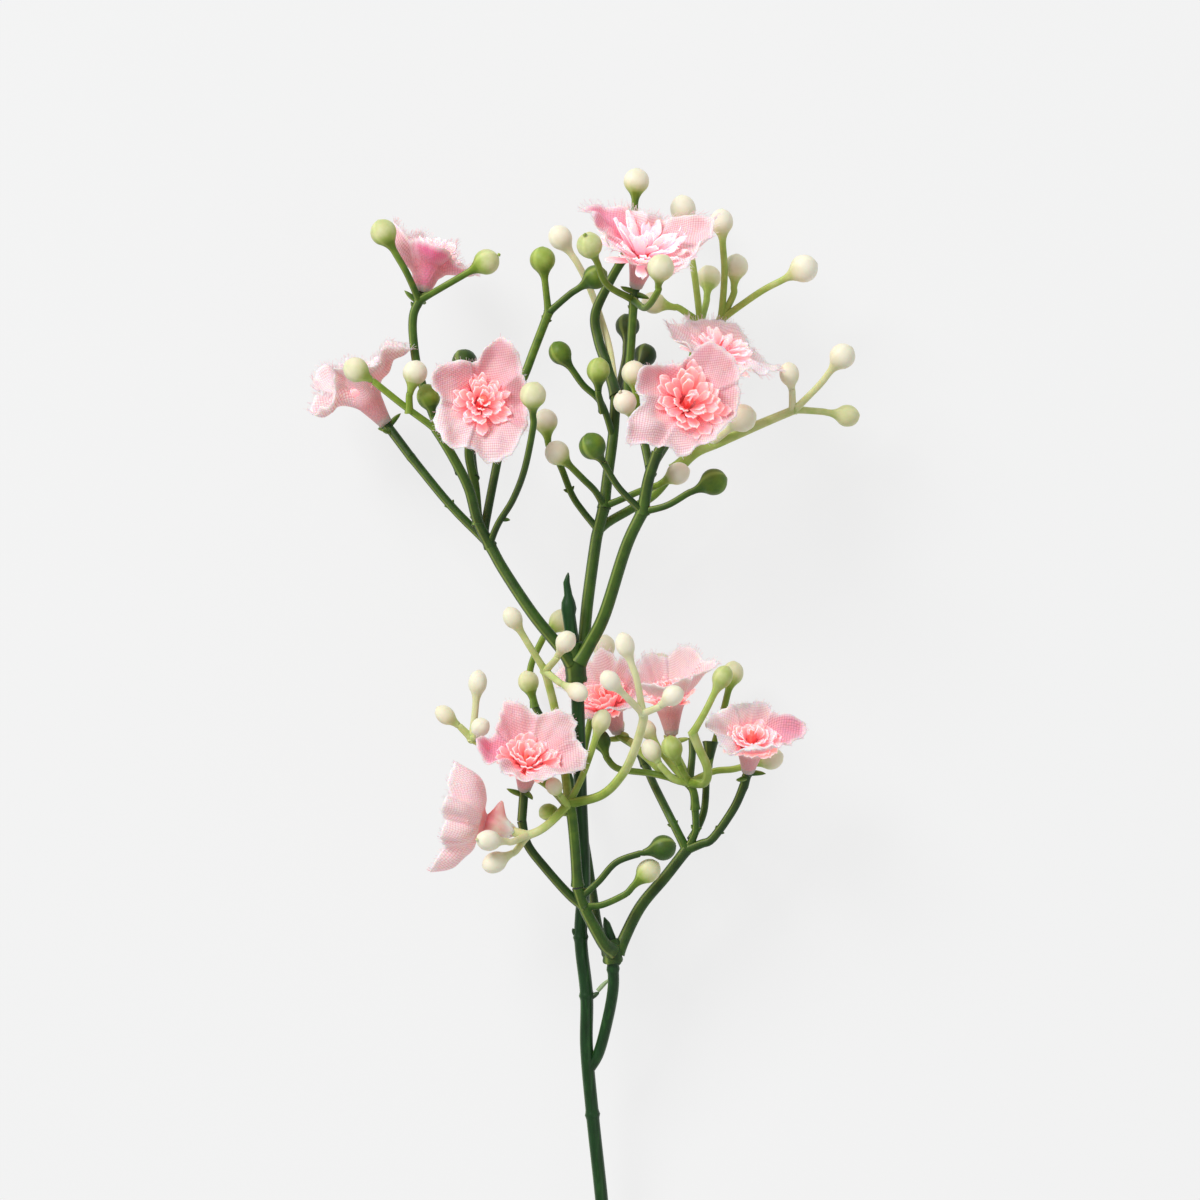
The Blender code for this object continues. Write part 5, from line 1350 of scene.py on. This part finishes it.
def piece(name: str, mesh: Mesh, slot: Slot, *nodes: str) -> Object:
    """Put a finished mesh in the scene as a piece of the object.

    Args:
        name: The piece's name.
        mesh: Its mesh, in place.
        slot: The record's slot for its finish; not used.
        *nodes: The nodes that it stands for.

    Returns:
        The piece.
    """
    item = linked(name, mesh)
    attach(item, "root")
    if nodes:
        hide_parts(*nodes)
    LOG.info("%s: %d faces", name, len(mesh.polygons))
    return item


def joined(name: str, meshes: Sequence[Mesh], finish: Material) -> Mesh:
    """Several meshes as one mesh with one finish.

    Args:
        name: The new mesh's name.
        meshes: The meshes.
        finish: Their material.

    Returns:
        The new mesh.
    """
    soup = bmesh.new()
    for mesh in meshes:
        soup.from_mesh(mesh)
    result = bpy.data.meshes.new(name)
    soup.to_mesh(result)
    soup.free()
    result.materials.clear()
    result.materials.append(finish)
    result.polygons.foreach_set("material_index", [0] * len(result.polygons))
    return result


@dataclass
class Stem:
    """The coated main stem with its side peg, and the cut end that shows the wire's bore."""

    radius: float = 1.1
    side_radius: float = 0.95
    rings: tuple[float, ...] = (-51.5, -31.0, -21.0, 21.5)
    side_ring: float = -26.3
    ring_swell: float = 0.2
    ring_width: float = 0.42
    bore: float = 0.42
    bore_depth: float = 3.6

    def swollen(self, height: float, rings: Sequence[float]) -> float:
        """How much the stem swells near its rings."""
        return 1 + sum(self.ring_swell * hill(height - ring, self.ring_width) for ring in rings)

    def chains(self) -> list[Chain]:
        """The stem, its side peg and the small hooks beside its rings.

        Returns:
            The chains.
        """
        stem, side = Chain(), Chain()
        for place in smooth(STEM_ROUTE, 0.4):
            stem.add(place, self.radius * self.swollen(place.y, self.rings), 0.0)
        for place, girth in STEM_TIP:
            stem.add(Vector(place), girth, 0.0)
        for place in smooth(sunk(SIDE_ROUTE), 0.4):
            side.add(place, self.side_radius * self.swollen(place.y, (self.side_ring,)), 0.0)
        for place, girth in SIDE_TIP:
            side.add(Vector(place), girth, 0.02)
        hooks = [
            spike_chain(Vector((0.4, -31.3, 13.3)), Vector((0.9, 0.75, 0.2)), 1.5, 0.5, 0.05),
            spike_chain(Vector((3.9, -26.0, 17.6)), Vector((0.9, 0.6, 0.1)), 1.7, 0.45, 0.05),
            spike_chain(Vector((-2.4, -20.6, 14.7)), Vector((-0.5, 0.9, 0.2)), 1.2, 0.4, 0.0),
            spike_chain(Vector((1.4, -30.2, 13.9)), Vector((0.62, 0.75, 0.15)), 3.0, 0.42, 0.85),
        ]
        return [stem, side, *hooks]

    def cut(self, mesh: Mesh) -> None:
        """Sink the wire's bore in the cut end.

        Args:
            mesh: The stem's mesh.
        """
        end = world(STEM_ROUTE[0])
        inward = (world(STEM_ROUTE[1]) - end).normalized()
        soup = bmesh.new()
        soup.from_mesh(mesh)
        cap = min(soup.faces, key=lambda face: (face.calc_center_median() - end).length)
        bmesh.ops.inset_region(soup, faces=[cap], thickness=(self.radius - self.bore) * MM)
        grown = bmesh.ops.extrude_face_region(soup, geom=[cap])
        moved = [item for item in grown["geom"] if isinstance(item, bmesh.types.BMVert)]
        bmesh.ops.translate(soup, verts=moved, vec=inward * (self.bore_depth * MM))
        bmesh.ops.delete(soup, geom=[cap], context="FACES_ONLY")
        soup.to_mesh(mesh)
        soup.free()

    def build(self, tree: RunTree, finish: Material) -> None:
        """Build the stem's piece.

        Args:
            tree: The tree of moulded runs.
            finish: The coating.
        """
        mesh = tree.realised("coated_stem", chain_mesh("coated_stem_runs", self.chains()), {
            "Sides": 18, "Parting Line": 0.00004, "Parting Turn": 0.2, "Finish": finish})
        self.cut(mesh)
        piece("coated_stem", mesh, Slot.STEM, "main_stem")


@dataclass
class Spray:
    """A moulding with its arms, buds, barbs, collar, and the leaders that end in its blooms.

    Sizes are in millimetres, and green is the tone of its barbs and its collar.
    """

    node: str
    slot: Slot
    arms: Sequence[Arm]
    buds: Sequence[Bud]
    leaders: dict[str, tuple[Spot, ...]] = field(default_factory=dict)
    barbs: Sequence[tuple[Spot, Spot]] = ()
    collar: tuple[tuple[Spot, float], ...] = ()
    leader_tone: float = 0.12
    leader_radius: float = 0.8
    leafy: bool = True
    bracts: int = 3
    bract_length: float = 3.1
    bract_width: float = 0.6
    barb_length: float = 1.15
    barb_width: float = 0.42
    green: float = 0.14
    lip: float = 0.16
    lip_place: float = 0.4
    lip_width: float = 0.35

    def leader_chains(self) -> list[Chain]:
        """The leaders under the blooms, each with its bracts.

        Returns:
            The chains.
        """
        found = []
        for number, (name, start) in enumerate(self.leaders.items()):
            spec = BLOOMS[name]
            base, axis = Vector(spec.base), Vector(spec.axis).normalized()
            chain = Chain()
            for place in smooth([*start, base - axis * 1.5], 0.5):
                chain.add(place, self.leader_radius, self.leader_tone)
            chain.add(base - axis * 0.9, self.leader_radius * 1.06, self.leader_tone)
            chain.add(base - axis * 0.3, self.leader_radius * 0.98, self.leader_tone)
            found.append(chain)
            if not self.leafy:
                continue
            aside = axis.orthogonal().normalized()
            for turn in range(self.bracts):
                outward = Matrix.Rotation(math.radians(120 * turn + 47 * number), 3, axis) @ aside
                foot = base - axis * (1.2 + 0.45 * turn)
                found.append(spike_chain(foot, outward + axis * 0.3, self.bract_length, self.bract_width,
                                         self.leader_tone + 0.1))
        return found

    def barb_chains(self) -> list[Chain]:
        """The barbs, in pairs on both sides of an arm.

        Returns:
            The chains.
        """
        found = []
        for where, along in self.barbs:
            forward = Vector(along).normalized()
            across = forward.cross(Vector((0.0, 0.0, 1.0))).normalized()
            for side in (-1.0, 1.0):
                found.append(spike_chain(Vector(where), forward * 0.75 + across * side, self.barb_length,
                                         self.barb_width, self.green))
        return found

    def collar_chain(self) -> Chain:
        """The sleeve round what carries the spray, with a lip at both ends.

        Returns:
            The chain.
        """
        chain = Chain()
        places = smooth([place for place, _ in self.collar], 0.3)
        gone = travelled(places)
        radii = [girth for _, girth in self.collar]
        for place, at in zip(places, gone):
            share = at / gone[-1] * (len(radii) - 1)
            index = min(int(share), len(radii) - 2)
            lip = self.lip * sum(hill(end - self.lip_place, self.lip_width) for end in (at, gone[-1] - at))
            chain.add(place, blend(radii[index], radii[index + 1], share - index) + lip, self.green)
        return chain

    def build(self, tree: RunTree, finish: Material) -> None:
        """Build the moulding's piece.

        Args:
            tree: The tree of moulded runs.
            finish: The plastic.
        """
        chains = [arm_chain(item) for item in self.arms] + [bud_chain(item) for item in self.buds]
        chains += self.leader_chains() + self.barb_chains()
        if self.collar:
            chains.append(self.collar_chain())
        name = f"moulded_{self.node}"
        mesh = tree.realised(name, chain_mesh(name + "_runs", chains), {
            "Sides": 16, "Parting Line": 0.00009, "Parting Turn": 0.9, "Finish": finish})
        piece(name, mesh, self.slot, self.node)


@dataclass(frozen=True)
class Ring:
    """A ring of small petals in a bloom's heart, with its sizes in millimetres and degrees."""

    count: int
    radius: float
    height: float
    lean: float
    length: float
    width: float
    curl: float
    steps: int = 6
    thickness: float = 0.12
    rim: float = 0.06

    def petal(self, finish: Material) -> Mesh:
        """A small petal with a thick rim, upright on the origin, that faces the axis at -x.

        Args:
            finish: Its material.

        Returns:
            Its mesh, in metres.
        """
        sides = ([], [])
        marks = {"reach": [], "rim": []}
        for upward in range(self.steps + 1):
            v = 1 - (1 - upward / self.steps) ** 1.5
            half = 0.5 * self.width * (0.45 + 0.55 * math.sin(0.5 * math.pi * min(1.0, v / 0.8)))
            half *= math.sqrt(max(0.0, 1 - max(0.0, (v - 0.8) / 0.24) ** 2))
            for across in range(self.steps + 1):
                u = 2 * across / self.steps - 1
                border = max(abs(u) ** 6 * v, v ** 7)
                top = v * self.length * (1 - 0.14 * u * u * v)
                out = self.curl * v * v * self.length * 0.5 - 0.12 * self.width * u * u * (1.0 - 0.75 * v)
                out += 0.05 * self.length * v ** 3 * math.sin(5 * u)
                half_thick = 0.5 * (self.thickness + self.rim * border)
                for places, offset in zip(sides, (-half_thick, half_thick)):
                    places.append(Vector((out + offset, u * half, top)) * MM)
                marks["reach"].append(v)
                marks["rim"].append(ease((border - 0.3) / 0.7))
        doubled = {name: values * 2 for name, values in marks.items()}
        return shell("small_petal", *sides, self.steps + 1, finish, doubled, closed=False)


RINGS = {
    Heart.TONGUES: (
        Ring(18, 2.4, 4.9, 82, 4.5, 1.5, 0.05), Ring(16, 2.2, 5.4, 72, 4.2, 1.5, 0.15),
        Ring(14, 2, 6, 61, 3.8, 1.5, 0.2), Ring(12, 1.7, 6.5, 49, 3.3, 1.5, 0.25),
        Ring(9, 1.3, 7, 35, 2.7, 1.4, 0.3), Ring(6, 0.95, 7.6, 10, 1.8, 1.1, 0.2)),
    Heart.PLATES: (
        Ring(11, 3.2, 5.6, 77, 3.4, 2.6, 0.05), Ring(10, 2.8, 5.8, 64, 3.3, 2.6, 0.1),
        Ring(9, 2.4, 6, 52, 3.1, 2.5, 0.1), Ring(8, 1.9, 6.1, 40, 3, 2.4, 0.1),
        Ring(7, 1.4, 6.3, 28, 2.8, 2.1, 0.1), Ring(4, 0.7, 6.9, 10, 2.8, 1.7, 0.1)),
}


@dataclass(frozen=True)
class Creases:
    """Soft curls, folds and creases of a bloom's sheet, with their depths in millimetres."""

    seed: int
    scale: float
    curls: list[float]
    folds: list[float]
    lines: list[Pair]
    phase: float
    line_width: float = 11.0
    ripples: int = 13
    ripple: float = 0.16
    swell: float = 1.7
    swell_pitch: float = 0.3

    @classmethod
    def drawn(cls, spec: BloomSpec, seed: int) -> Creases:
        """Draw the creases of a bloom.

        Args:
            spec: The bloom.
            seed: The bloom's seed.

        Returns:
            The creases.
        """
        draw = random.Random(seed)
        curls = [draw.uniform(-0.9, 1.1) for _ in spec.lobes]
        folds = [draw.uniform(-0.9, 0.9) for _ in spec.lobes]
        lines = [(draw.uniform(0.0, 360.0), draw.uniform(-0.8, 0.8)) for _ in range(7)]
        return cls(seed, spec.crumple, curls, folds, lines, draw.uniform(0.0, 6.28))

    def depth(self, degrees: float, radius: float, outer: float, delta: float, own: int) -> float:
        """How far they push the sheet out at a place.

        Args:
            degrees: The direction of the place.
            radius: Its distance from the axis.
            outer: How far out on the petals it is, from 0 to 1.
            delta: How near to its petal's side edge it is, from -1 to 1.
            own: Its petal's number.

        Returns:
            The push along the sheet's normal, in millimetres.
        """
        angle = math.radians(degrees)
        push = self.ripple * outer ** 1.5 * math.sin(self.ripples * angle + self.phase + 2.0 * outer)
        for where, size in self.lines:
            push += size * outer * hill(turned(degrees - where), self.line_width)
        spot = Vector((radius * math.cos(angle), radius * math.sin(angle), self.seed * 5.0))
        push += self.swell * outer * noise.noise(spot * self.swell_pitch)
        push += self.curls[own] * ease((outer - 0.7) / 0.3) * (1 - abs(delta))
        push += self.folds[own] * delta * outer
        return self.scale * push


@dataclass(frozen=True)
class Skirt:
    """A torn skirt under a bloom, drawn in to its stalk, with a fin on one side.

    Sizes are in millimetres and degrees, and the rows run down from its top.
    """

    around: int = 64
    down: int = 12
    top: float = 3.3
    height: float = 5.3
    radius: float = 1.45
    belly: float = 0.75
    taper: float = 0.5
    fin: float = 2.6
    fin_angle: float = 8.0
    fin_width: float = 20.0
    ruffle: float = 0.12
    thickness: float = 0.16

    def mesh(self, name: str, finish: Material) -> Mesh:
        """Its mesh, in the bloom's own frame.

        Args:
            name: The mesh's name.
            finish: Its material.

        Returns:
            The mesh.
        """
        outside, inside, shares = [], [], []
        for column in range(self.around):
            degrees = 360.0 * column / self.around
            angle = math.radians(degrees)
            way = Vector((math.cos(angle), math.sin(angle), 0.0))
            fin = self.fin * hill(turned(degrees - self.fin_angle), self.fin_width)
            for row in range(self.down + 1):
                share = row / self.down
                radius = self.radius + self.belly * math.sin(math.pi * share) ** 0.7 - self.taper * share
                radius += fin * hill(share - 0.36, 0.2)
                radius += self.ruffle * math.sin(5 * angle + 4 * share) * share * (1 - share) * 4
                drop = self.height * share * (0.95 + 0.05 * math.sin(3 * angle))
                level = Vector((0.0, 0.0, self.top - drop))
                outside.append(way * radius + level)
                inside.append(way * (radius - self.thickness) + level)
                shares.append(share)
        return shell(name, outside, inside, self.down + 1, finish, {"reach": shares * 2})


@dataclass
class Bloom:
    """A woven bloom: a flat-cut sheet folded to a cone with five petals, and its heart.

    Distances along the sheet are in millimetres from its foot. The petals start at the neck, the
    upper face is deep pink up to the core's end, and the lower one is coral up to the cone's end
    and grey at the foot.
    """

    name: str
    spec: BloomSpec
    seed: int
    around: int = 150
    along: int = 30
    thickness: float = 0.17
    cloth_share: float = 0.65
    cone: tuple[Pair, ...] = ((1.0, -0.5), (1.15, 0.3), (1.45, 1.6), (1.85, 3.1), (2.35, 4.5))
    mouth: Pair = (2.1, 4.6)
    bowl_floor: float = 4.3
    neck: float = 4.2
    core_end: float = 7.4
    core_fade: float = 4.2
    cone_end: float = 7.0
    cone_fade: float = 2.6
    foot_end: float = 1.5
    foot_fade: float = 0.8
    rim_width: float = 1.1
    cup_depth: float = 1.9
    rib_depth: float = 0.3
    rib_width: float = 0.16
    open_lean: float = 68.0
    closing: float = 30.0
    thread_tries: int = 3

    def matrix(self) -> Matrix:
        """From the bloom's own frame, in millimetres, to the part's frame in metres.

        Returns:
            The matrix.
        """
        axis = Vector(self.spec.axis).normalized()
        guide = Vector((0.0, 1.0, 0.0)) if self.spec.upright else Vector((1.0, 0.0, 0.0))
        right = (guide - axis * guide.dot(axis)).normalized()
        turn = Matrix((right, axis.cross(right), axis)).transposed().to_4x4()
        origin = world(Vector(self.spec.base) + axis * self.spec.lift)
        return Matrix.Translation(origin) @ turn @ Matrix.Scale(MM, 4)

    def petal_at(self, angle: float) -> tuple[Lobe, float, int]:
        """The petal that lies in a direction.

        Args:
            angle: The direction, in degrees.

        Returns:
            The petal as it is there, partly like its neighbour, how near to its side edge the
            direction is, from -1 to 1, and the petal's number.
        """
        lobes = self.spec.lobes
        gaps = [turned(angle - lobe.angle) for lobe in lobes]
        own = min(range(len(lobes)), key=lambda at: abs(gaps[at]))
        side = 1 if gaps[own] >= 0 else -1
        mine, other = lobes[own], lobes[(own + side) % len(lobes)]
        half = 0.5 * ((side * (other.angle - mine.angle)) % 360)
        delta = min(1.0, abs(gaps[own]) / half)
        return mine.towards(other, 0.5 * delta * delta), side * delta, own

    def reach_at(self, angle: float) -> float:
        """The cut edge's distance from the axis in a direction, on a smooth curve through the outline.

        Args:
            angle: The direction, in degrees.

        Returns:
            The distance in millimetres.
        """
        outline = self.spec.outline
        at = bisect_right([knot[0] for knot in outline], angle) - 1
        near = []
        for step in range(-1, 3):
            turns, own = divmod(at + step, len(outline))
            near.append((outline[own][0] + 360 * turns, outline[own][1]))
        (a0, r0), (a1, r1), (a2, r2), (a3, r3) = near
        t = (angle - a1) / (a2 - a1)
        first, second = (r2 - r0) / (a2 - a0) * (a2 - a1), (r3 - r1) / (a3 - a1) * (a2 - a1)
        return blend(r1, r2, t * t * (3 - 2 * t)) + first * t * (1 - t) ** 2 - second * t * t * (1 - t)

    def profile(self, reach: float, lean: float) -> list[Spot]:
        """Radii, heights and distances from the foot to the edge, for one direction.

        Args:
            reach: The edge's distance from the axis.
            lean: The petal's lean, in degrees.

        Returns:
            Radius, height and distance of each place.
        """
        if self.spec.form is Form.BOWL:
            floor, waist = self.bowl_floor, self.spec.waist
            top = floor + reach / math.tan(math.radians(lean))
            wall = max(0.52 * reach, 0.8 * waist + 1.5)
            return self.spaced((
                self.cone[0], (0.4 + 0.6 * waist, 1.4), (waist, 3.0), (0.8 * waist + 1.3, 3.95),
                (wall, floor), (0.84 * reach, blend(floor, top, 0.36)), (reach, top)))
        low = math.radians(lean * 0.68)
        bend = max(0.9, min(3.2, (0.72 * reach - self.mouth[0]) / math.sin(low)))
        knee = (self.mouth[0] + bend * math.sin(low), self.mouth[1] + bend * math.cos(low))
        tip = (reach, knee[1] + (reach - knee[0]) / math.tan(math.radians(lean)))
        return self.spaced((*self.cone, knee, tip))

    def spaced(self, knots: Sequence[Pair]) -> list[Spot]:
        """Evenly spaced radii and heights along a smooth curve, each with its distance along it.

        Args:
            knots: Radii and heights that the curve runs through.

        Returns:
            Radius, height and distance of each place.
        """
        route = smooth([(radius, 0.0, height) for radius, height in knots], 0.25)
        gone = travelled(route)
        found, index = [], 0
        for step in range(self.along + 1):
            goal = gone[-1] * (step / self.along)
            while index < len(gone) - 2 and gone[index + 1] < goal:
                index += 1
            share = (goal - gone[index]) / max(1e-6, gone[index + 1] - gone[index])
            spot = route[index].lerp(route[index + 1], min(1.0, share))
            found.append((spot.x, spot.z, goal))
        return found

    def sheet(self) -> tuple[list[Vector], list[Pair], list[dict[str, float]]]:
        """The sheet's upper face.

        Returns:
            Its points, their places on the flat sheet in millimetres, and their attributes.
        """
        creases = Creases.drawn(self.spec, self.seed)
        points, flat, marks = [], [], []
        for column in range(self.around):
            degrees = 360.0 * column / self.around
            angle = math.radians(degrees)
            x, y = math.cos(angle), math.sin(angle)
            petal, delta, own = self.petal_at(degrees)
            ragged = 0.03 * noise.noise(Vector((x * 9, y * 9, self.seed * 3.1)))
            reach = self.reach_at(degrees) * (1 + ragged + 0.01 * math.sin(31 * angle + creases.phase))
            row = self.profile(reach, petal.lean)
            total = row[-1][2]
            for at, (radius, height, gone) in enumerate(row):
                low, high = row[max(0, at - 1)], row[min(len(row) - 1, at + 1)]
                slope = Vector((high[0] - low[0], high[1] - low[1])).normalized()
                outer = ease((gone - self.neck) / max(1.0, total - self.neck))
                push = petal.cup * self.cup_depth * abs(delta) ** 2.2 * outer
                push += creases.depth(degrees, radius, outer, delta, own)
                push -= self.rib_depth * hill(delta, self.rib_width) * outer * (1 - 0.5 * outer)
                push += 0.015 * math.sin(18 * angle + creases.phase) * hill(gone - 3.6, 1.8)
                radius -= slope.y * push
                points.append(Vector((radius * x, radius * y, height + slope.x * push)))
                flat.append((gone * x, gone * y))
                # The petal's last number, times how far out the place is, carries the greyer pink painted
                # there as shade
                marks.append({"rim": max(0.0, 1 - (total - gone) / self.rim_width),
                              "core": ease((self.core_end - gone) / self.core_fade), "cone": 0.0, "foot": 0.0,
                              "flush": max(0.0, petal.flush) * (0.5 + 0.5 * outer) * (1 - 0.4 * abs(delta)),
                              "pale": max(0.0, -petal.flush), "painted_shade": petal.painted_shade * outer})
        return points, flat, marks

    def petals(self, finish: Material) -> tuple[Mesh, list[tuple[Vector, Vector]], list[Pair]]:
        """The sheet as a closed thin shell.

        Returns:
            Its mesh, the places and headings of its cut edge, and that edge on the flat sheet.
        """
        points, flat, marks = self.sheet()
        rows = self.along + 1
        skin = bpy.data.meshes.new("skin")
        skin.from_pydata(points, [], grid(len(points), rows))
        under = [place - vertex.normal * self.thickness for place, vertex in zip(points, skin.vertices)]
        bpy.data.meshes.remove(skin)
        below = []
        for mark, spot in zip(marks, flat):
            gone = math.hypot(*spot)
            below.append({**mark, "core": 0.0, "cone": ease((self.cone_end - gone) / self.cone_fade),
                          "foot": ease((self.foot_end - gone) / self.foot_fade)})
        columns = {key: [mark[key] for mark in marks + below] for key in marks[0]}
        mesh = shell(self.name + "_petals", points, under, rows, finish, columns)
        places = [(0.5 + x / SHEET_WIDTH, 0.5 + y / SHEET_WIDTH) for x, y in flat] * 2
        for loop, spot in zip(mesh.loops, mesh.uv_layers.new(name="sheet").data):
            spot.uv = places[loop.vertex_index]
        ends = range(rows - 1, len(points), rows)
        edge = [(points[at], (points[at] - points[at - 2]).normalized()) for at in ends]
        return mesh, edge, [flat[at] for at in ends]

    def heart(self, tree: RingTree, finish: Material) -> Mesh:
        """The rings of small petals, in metres in the bloom's own frame.

        Args:
            tree: The tree of petal rings.
            finish: Their material.

        Returns:
            The heart's mesh.
        """
        spec = self.spec
        leans = [lobe.lean for lobe in spec.lobes]
        openness = min(1.0, 0.5 * (sum(leans) / len(leans) + min(leans)) / self.open_lean) * spec.tuck
        rings = RINGS[spec.heart]
        found = []
        for number, ring in enumerate(rings):
            closing = self.closing if spec.closed and ring is rings[-1] else 0.0
            found.append(tree.realised(f"{self.name}_ring_{number}", ring.petal(finish), {
                "Count": round(ring.count * spec.frill), "Ring Radius": ring.radius * spec.size ** 0.5 * MM,
                "Height": ring.height * MM, "Lean": math.radians(ring.lean - closing) * openness,
                "Turn": 0.7 * number + self.seed, "Width": spec.size ** 0.6 / spec.frill, "Length": spec.size,
                "Seed": self.seed * 10 + number, "Finish": finish}))
        heart = joined(self.name + "_heart", found, finish)
        layer = heart.attributes.new("pale", "FLOAT", "POINT")
        layer.data.foreach_set("value", [spec.pale] * len(heart.vertices))
        return heart

    def frayed(self, tree: FrayTree, edge: Sequence[tuple[Vector, Vector]], finish: Material) -> Mesh:
        """Loose threads on the petals' cut edge, in metres in the bloom's own frame.

        Args:
            tree: The tree of loose threads.
            edge: Places and headings of the cut edge.
            finish: Their material.

        Returns:
            The threads' mesh.
        """
        draw = random.Random(self.seed + 50)
        places, headings = [], []
        for first, second in zip(edge, edge[1:] + edge[:1]):
            for _ in range(self.thread_tries):
                if draw.random() < self.spec.fray:
                    share = draw.random()
                    places.append(first[0].lerp(second[0], share) * MM)
                    headings.extend(first[1].lerp(second[1], share))
        mesh = bpy.data.meshes.new("edge_points")
        mesh.from_pydata(places, [], [])
        mesh.attributes.new("heading", "FLOAT_VECTOR", "POINT").data.foreach_set("vector", headings)
        return tree.realised(self.name + "_threads", mesh, {
            "Thread Length": (0.2 + 0.9 * self.spec.fray) * MM, "Thread Radius": 0.028 * MM, "Spread": 0.45,
            "Seed": self.seed, "Finish": finish})

    def build(self, rings: RingTree, frays: FrayTree, finishes: dict[str, Material]) -> None:
        """Build the bloom's pieces.

        Args:
            rings: The tree of petal rings.
            frays: The tree of loose threads.
            finishes: The materials by their part.
        """
        place = self.matrix()
        to_metres = place @ Matrix.Scale(1 / MM, 4)
        mesh, edge, rim = self.petals(finishes["woven"])
        mesh.transform(place)
        petals = piece(self.name + "_petals", mesh, Slot.PETAL, self.name)
        heart = self.heart(rings, finishes["rosette"])
        heart.transform(to_metres)
        piece(self.name + "_heart", heart, Slot.PETAL)
        threads = self.frayed(frays, edge, finishes["thread"])
        threads.transform(to_metres)
        piece(self.name + "_threads", threads, Slot.PETAL)
        if self.spec.torn:
            skirt = Skirt().mesh(self.name + "_skirt", finishes["coral"])
            skirt.transform(place)
            piece(self.name + "_skirt", skirt, Slot.PLUG)


@dataclass(frozen=True)
class Lamp:
    """A large square lamp: its name, its place and size in metres, and its power in watts."""

    name: str
    place: Spot
    size: float
    power: float


@dataclass
class Studio:
    """Pale floor, soft light from all sides and a camera that looks straight down.

    The centre and the frame's width are in millimetres, the other sizes in metres.
    """

    centre: Spot = (1.785, 36.55, 22.0)
    frame_width: float = 204.0
    distance: float = 1.8
    floor_size: float = 4.0
    sensor: float = 36.0
    farthest: float = 20.0
    daylight: float = 0.48
    lamps: tuple[Lamp, ...] = (
        Lamp("key", (-1.0, 1.1, 1.3), 0.8, 30.0), Lamp("fill", (1.2, -0.8, 1.4), 1.6, 4.0))

    def floor(self, finish: Material) -> None:
        """Build the floor.

        Args:
            finish: Its material.
        """
        half = self.floor_size / 2
        mesh = bpy.data.meshes.new("floor")
        corners = [(-half, -half, 0.0), (half, -half, 0.0), (half, half, 0.0), (-half, half, 0.0)]
        mesh.from_pydata(corners, [], [(0, 1, 2, 3)])
        mesh.materials.append(finish)
        item = linked("floor", mesh)

    def lights(self) -> None:
        """Hang the lamps, which face the part, and set the pale surroundings."""
        for lamp in self.lamps:
            light = bpy.data.lights.new(lamp.name, "AREA")
            light.size = lamp.size
            light.energy = lamp.power
            item = linked(lamp.name, light)
            item.location = lamp.place
            item.rotation_euler = (-Vector(lamp.place)).to_track_quat("-Z", "Y").to_euler()
        surroundings = bpy.data.worlds.new("surroundings")
        surroundings.use_nodes = True
        background = surroundings.node_tree.nodes["Background"]
        background.inputs["Color"].default_value = WHITE
        background.inputs["Strength"].default_value = self.daylight
        bpy.context.scene.world = surroundings
        bpy.context.scene.view_settings.view_transform = "Standard"

    def camera(self) -> None:
        """Set the camera above the part."""
        lens = bpy.data.cameras.new("camera")
        lens.sensor_width = self.sensor
        lens.lens = self.sensor * (self.distance - self.centre[2] * MM) / (self.frame_width * MM)
        lens.clip_end = self.farthest
        item = linked("camera", lens)
        spot = world(self.centre)
        item.location = (spot.x, spot.y, self.distance)
        bpy.context.scene.camera = item


def sprays() -> list[Spray]:
    """The two sprays and the four clusters.

    Returns:
        The mouldings, in the order they are built.
    """
    return [
        Spray("upper_spray", Slot.SPRAY, UPPER_ARMS, UPPER_BUDS, UPPER_LEADERS, UPPER_BARBS, UPPER_COLLAR),
        Spray("lower_spray", Slot.SPRAY, LOWER_ARMS, LOWER_BUDS, LOWER_LEADERS, LOWER_BARBS, LOWER_COLLAR),
        Spray("lower_front_cluster", Slot.LIME, FRONT_ARMS, FRONT_BUDS, FRONT_LEADERS, FRONT_BARBS,
              leader_tone=0.68, leafy=False),
        Spray("lower_right_cluster", Slot.LIME, RIGHT_ARMS, RIGHT_BUDS, RIGHT_LEADERS, RIGHT_BARBS,
              leader_tone=0.4, leader_radius=0.75),
        Spray("upper_edge_cluster", Slot.IVORY, EDGE_ARMS, EDGE_BUDS),
        Spray("upper_back_cluster", Slot.IVORY, BACK_ARMS, BACK_BUDS, BACK_LEADERS,
              leader_tone=0.6, leafy=False),
    ]


def main() -> None:
    """Build and dress every piece, then the studio, and note the sizes."""
    logging.basicConfig(level=logging.INFO, format="%(message)s")
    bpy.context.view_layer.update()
    runs, rings, frays = RunTree(), RingTree(), FrayTree()
    plastic = MouldedPlastic().material()
    plug, wire = CoralPlug().material(), DrawnWire().material()
    finishes = {"woven": WovenFabric().material(), "rosette": RosettePetal().material(),
                "thread": Thread().material(), "coral": CoralGauze().material()}
    Stem().build(runs, StemCoating().material())
    for spray in sprays():
        spray.build(runs, plastic)
    for seed, (name, spec) in enumerate(BLOOMS.items(), FIRST_SEED):
        Bloom(name, spec, seed).build(rings, frays, finishes)
    for name, node in frame["nodes"].items():
        if name.endswith("_plug") or name == "stem_wire":
            for place in node.material_slots:
                place.material = wire if name == "stem_wire" else plug
    studio = Studio()
    studio.floor(PaleSurface().material())
    studio.lights()
    studio.camera()


if __name__ == "__main__":
    main()
